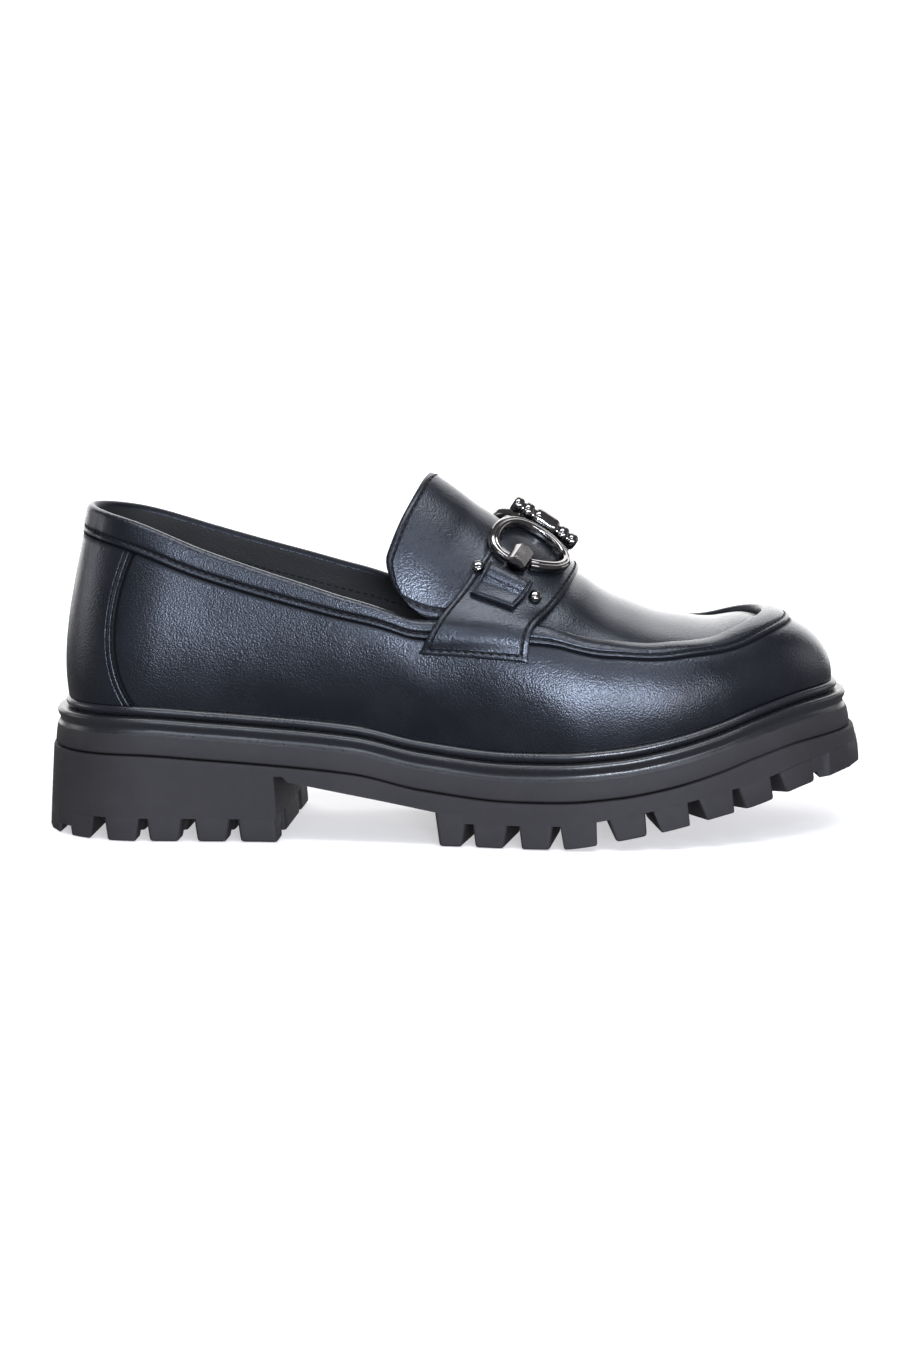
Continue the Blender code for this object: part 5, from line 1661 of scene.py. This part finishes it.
def build_ring(name, side):
    middle = RING_START + RING_WIDTH / 2
    opening = math.asin((KNOB_RADIUS + GAP) / ((RING_LENGTH - RING_WIRE) / 2))
    turn = np.linspace(opening, 2 * math.pi - opening, 97)
    forward = BIT_SHIFT + np.sin(turn) * (RING_LENGTH - RING_WIRE) / 2
    outward = middle + np.cos(turn) * (RING_WIDTH - RING_WIRE) / 2
    centre = SHEET.place(side, forward, outward, RING_WIRE / 2 + GAP)
    up = unit(centre - SHEET.place(side, forward, outward, 0 * forward))
    tangent = unit(np.gradient(centre, axis=0))
    out = unit(np.cross(tangent, up))
    section = RING_WIRE * np.array(WIRE_SECTION)
    rings = [c + section[:, :1] * o + section[:, 1:] * u for c, o, u in zip(centre, out, up)]
    obj = metal_loft(f"bit_ring_{name}", rings, sharp=50)
    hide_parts(f"ring_{name}")


def build_knob(name, side):
    lift = KNOB_RADIUS + GAP * 2
    start = SHEET.place(side, BIT_SHIFT, KNOB_START, lift)
    end = SHEET.place(side, BIT_SHIFT, KNOB_START + KNOB_LENGTH, lift)
    length = float(np.linalg.norm(end - start))
    edge = 0.0004
    profile = [
        (0, KNOB_RADIUS * 0.70),
        (edge * 0.8, KNOB_RADIUS * 0.86),
        (edge * 2.2, KNOB_RADIUS),
        (length - edge * 2.2, KNOB_RADIUS),
        (length - edge * 0.8, KNOB_RADIUS * 0.86),
        (length, KNOB_RADIUS * 0.70),
    ]
    obj = metal_loft(f"bit_knob_{name}", turned_rings(start, end - start, profile, 8), sharp=15)
    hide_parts(f"knob_{name}")


HALF_BAR = (
    (0.000, 0.50), (0.010, 0.66), (0.030, 0.75), (0.055, 0.79), (0.100, 0.79), (0.125, 0.72), (0.136, 0.60),
    (0.152, 0.60), (0.162, 0.76), (0.180, 0.86), (0.225, 0.88), (0.270, 0.86), (0.288, 0.76), (0.298, 0.64),
    (0.314, 0.64), (0.326, 0.84), (0.342, 0.94), (0.370, 0.99), (0.410, 1.00),
)
BAR = HALF_BAR + tuple((1 - share, radius) for share, radius in HALF_BAR[::-1])


def build_bridge():
    lift = BARREL_RADIUS + 4 * GAP
    ends = [SHEET.place(-1, BIT_SHIFT + sign * BRIDGE_LENGTH / 2, 0.0, lift) for sign in (-1, 1)]
    length = float(np.linalg.norm(ends[1] - ends[0]))
    profile = [(length * share, BARREL_RADIUS * radius) for share, radius in BAR]
    obj = metal_loft("bit_bar", turned_rings(ends[0], ends[1] - ends[0], profile, 48), sharp=35)
    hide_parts("bridge")


# Stitches

STITCH_PITCH = 0.0026
STITCH_LENGTH = 0.0019
THREAD_RADIUS = 0.00027


STITCH_SIDES, STITCH_RINGS = 6, 5
STITCH_LIFT = 0.0001  # of a stitch's middle over the leather it lies on


def stitch_rings(a, b, up):
    """Rings of a short thread from a to b that dips at both ends."""
    axis = unit(b - a)
    other = unit(np.cross(axis, up))
    up = np.cross(other, axis)
    angles = 2 * math.pi * np.arange(STITCH_SIDES) / STITCH_SIDES
    spokes = THREAD_RADIUS * (np.outer(np.cos(angles), other) + np.outer(np.sin(angles), up))
    rings = []
    for share in np.linspace(0, 1, STITCH_RINGS):
        bulge = math.sin(math.pi * mix(0.08, 0.92, share)) ** 0.5
        sunk = -0.9 * THREAD_RADIUS * (2 * share - 1) ** 2
        rings.append(mix(a, b, share) + up * sunk + spokes * bulge)
    return rings


def stitches(name, rows):
    """Short threads laid along rows of (points, normals)."""
    parts = Parts()
    for points, normals in rows:
        run = np.concatenate([[0], np.cumsum(np.linalg.norm(np.diff(points, axis=0), axis=1))])

        def read(values, at):
            return np.array([np.interp(at, run, values[:, k]) for k in range(3)])

        number = int(run[-1] / STITCH_PITCH)
        for middle in (np.arange(number) + 0.5) * run[-1] / number:
            a, b = (read(points, middle + half) for half in (-STITCH_LENGTH / 2, STITCH_LENGTH / 2))
            parts.take(*closed_tube(stitch_rings(a, b, unit(read(normals, middle)))))
    obj = make_mesh(name, parts.vertices, parts.faces, [THREAD], sharp=None)


def wall_row(w, v, lift):
    """A row of points over the wall, or under it where the lift is below 0, with its normals."""
    normal = wall_normal(w, v)
    return wall_point(w, v) + normal * lift, normal


def band_row(w, lift):
    """The row over the lower edge of the collar band, or of the roll."""
    length = wall_length(w)
    band = 1 - BAND_WIDTH * WALL.at("band", along_of(w)[0]) / length
    return wall_row(w, band + STITCH_INSET / length, lift)


def counter_row(inset, mirror):
    near = COUNTER_SEAM - inset / LOOP_RUN
    w = np.full(60, 1 - near if mirror else near)
    top = 1 - (BAND_WIDTH + 0.0012) / wall_length(w)
    return wall_row(w, np.linspace(0.05, 1, 60) * top, COUNTER_LIFT + 0.00018 - GROOVE)


def lining_row(w):
    down = BAND_WIDTH * LINING_ROW + (UPPER_WALL + BAND_LIFT) / 2
    points, normal = wall_row(w, 1 - down / wall_length(w), -UPPER_WALL - 0.00008)
    return points, -normal


def tongue_row(share, p):
    normal = tongue_normal(share, p)
    return tongue_base(share, p) + normal * (UPPER_WALL + STITCH_LIFT), normal


def strap_row(along, share):
    return SHEET.lifted(along, share, STRAP_WALL + STITCH_LIFT), SHEET.normal(along, share)


def build_stitches():
    strap_w = float(place_on_loop(STRAP_REAR - 0.004, -1))
    front_w = float(place_on_loop(STRAP_FRONT + 0.004, -1))
    collar = np.linspace(-strap_w, strap_w, 400)
    height = BAND_LIFT + 0.00020 - GROOVE
    rows = [band_row(collar, height), band_row(np.linspace(front_w, 1 - front_w, 400), height + 0.0002)]
    rows += [counter_row(inset, mirror) for mirror in (False, True) for inset in COUNTER_ROWS]
    rows.append(lining_row(collar))
    stitches("stitches_upper", rows)

    side_p = 1 - STITCH_INSET / TONGUE_HALF
    end_share = 1 - STITCH_INSET / TONGUE_LENGTH
    rows = [tongue_row(np.full(300, end_share), np.linspace(-side_p, side_p, 300))]
    for side in (-1, 1):
        rows.append(tongue_row(np.linspace(0.15, end_share, 60), np.full(60, side * side_p)))
    stitches("stitches_tongue", rows)

    inset = STITCH_INSET / STRAP_WIDTH * (STRAP_FRONT - STRAP_REAR)
    end = 1 - STITCH_INSET / STRAP_HALF
    rear, front = STRAP_REAR + inset, STRAP_FRONT - inset
    rows = [strap_row(along, np.linspace(-end, end, 300)) for along in (rear, front)]
    rows += [strap_row(np.linspace(rear, front, 60), side * end) for side in (-1, 1)]
    stitches("stitches_strap", rows)


# Floor, lights and camera

CAMERA_ELEVATION = math.radians(9.0)
CAMERA_DISTANCE = 1.3
CAMERA_TARGET = (-0.002, 0.0, 0.051)
PIXELS_PER_METRE = 2925.0  # of the photograph at the target
PHOTO_WIDTH = 900
SENSOR = 36.0
FLOOR_DROP = 0.0002
FLOOR_RADIUS = 3.45
WALL_RADIUS = 3.5
TABLE_GLOW, WALL_GLOW = 0.50, 1.2
STAGE_STEPS = 64

MIDDLE = (0.0, 0.0, 0.06)
BLUE = (0.80, 0.88, 1.0)
# Name, place, target, size, watts, colour
LIGHTS = (
    ("softbox_front", (0.22, -1.60, 0.29), (0.03, 0, 0.06), (0.42, 0.22), 29, BLUE),
    ("softbox_side", (0.82, -1.36, 0.24), (0.03, 0, 0.06), (0.60, 0.30), 6.5, (0.95, 0.96, 1.0)),
    ("softbox_band", (-0.46, -1.46, 0.80), (-0.05, 0, 0.07), (0.60, 0.12), 3.5, BLUE),
    ("softbox_high", (0.42, -1.15, 1.00), (0, 0, 0.1), (0.45, 0.22), 3.2, BLUE),
    ("softbox_top", (0.05, -0.42, 1.15), MIDDLE, (1.1, 0.36), 12, (0.96, 0.98, 1.0)),
    ("softbox_over", (0.05, 1.15, 1.25), MIDDLE, (2.0, 0.8), 16),
    ("softbox_left", (-1.5, 0.35, 0.35), MIDDLE, (0.7, 0.6), 3),
    ("softbox_right", (1.4, 0.45, 0.35), MIDDLE, (0.7, 0.6), 1.5),
    ("backdrop", (0.0, 1.9, 0.45), (0, 0, 0.1), (3.4, 1.1), 33),
)


def stage_object(name, vertices, faces, material):
    mesh = bpy.data.meshes.new(name)
    mesh.from_pydata(vertices, [], faces)
    mesh.materials.append(material)
    mesh.shade_smooth()
    obj = bpy.data.objects.new(name, mesh)
    bpy.context.scene.collection.objects.link(obj)
    return obj


def circle(radius):
    angles = np.arange(STAGE_STEPS) * 2 * math.pi / STAGE_STEPS
    return [(radius * math.cos(a), radius * math.sin(a)) for a in angles]


def build_floor():
    """A pale light table, and far round it a pale wall that only the camera sees."""
    n = Nodes("studio_white")
    away = n.vector_math("LENGTH", n.coords())
    glow = n.spread(away.outputs["Value"], 0.3, 2.0, TABLE_GLOW, WALL_GLOW)
    shine = {"Emission_Strength": glow, "Emission_Color": (1.0, 0.985, 1.0)}
    white = n.finish((0.55, 0.55, 0.56), 0.8, Specular_IOR_Level=0.1, **shine)
    disc = [(x, y, -FLOOR_DROP) for x, y in circle(FLOOR_RADIUS)]
    stage_object("studio_floor", disc, [tuple(range(STAGE_STEPS))], white).visible_glossy = False

    n = Nodes("studio_wall")
    shine = {"Emission_Strength": WALL_GLOW, "Emission_Color": (1.0, 1.0, 1.0)}
    wall = n.finish((0.0, 0.0, 0.0), 1.0, Specular_IOR_Level=0.0, **shine)
    vertices = []
    angles = [math.radians(angle) for angle in np.linspace(-4, 86, 13)]
    for a in angles:
        vertices += [(x, y, WALL_RADIUS * math.sin(a)) for x, y in circle(WALL_RADIUS * math.cos(a))]
    obj = stage_object("studio_wall", vertices, tube_faces(len(angles), STAGE_STEPS), wall)
    obj.visible_glossy = obj.visible_diffuse = obj.visible_shadow = obj.visible_transmission = False


def area_light(name, place, target, size, power, colour=(1, 1, 1)):
    light = bpy.data.lights.new(name, "AREA")
    light.shape = "RECTANGLE"
    light.size, light.size_y = size
    light.energy = power
    light.color = colour
    obj = bpy.data.objects.new(name, light)
    obj.location = place
    direction = Vector(target) - Vector(place)
    obj.rotation_euler = direction.to_track_quat("-Z", "Y").to_euler()
    bpy.context.scene.collection.objects.link(obj)


def build_studio():
    build_floor()
    world = bpy.data.worlds.new("studio")
    bpy.context.scene.world = world
    world.use_nodes = True
    background = world.node_tree.nodes["Background"]
    background.inputs["Color"].default_value = (1.0, 0.98, 1.0, 1)
    background.inputs["Strength"].default_value = 0.17
    for light in LIGHTS:
        area_light(*light)
    bpy.context.scene.view_settings.view_transform = "Standard"

    camera = bpy.data.cameras.new("camera")
    obj = bpy.data.objects.new("camera", camera)
    bpy.context.scene.collection.objects.link(obj)
    back = Vector((0, -math.cos(CAMERA_ELEVATION), math.sin(CAMERA_ELEVATION)))
    obj.location = Vector(CAMERA_TARGET) + back * CAMERA_DISTANCE
    obj.rotation_euler = (math.pi / 2 - CAMERA_ELEVATION, 0, 0)
    camera.sensor_fit = "HORIZONTAL"
    camera.sensor_width = SENSOR
    camera.lens = PIXELS_PER_METRE * CAMERA_DISTANCE / PHOTO_WIDTH * SENSOR
    camera.clip_start = 0.01
    camera.clip_end = 20
    bpy.context.scene.camera = obj


build_outsole()
build_midsole()
build_welt()
build_insole()
build_upper()
build_tongue()
build_strap()
build_bridge()
for name, side in SIDES:
    build_ring(name, side)
    build_knob(name, side)
    build_keeper(name, side)
    build_studs(name, side)
build_stitches()
build_studio()
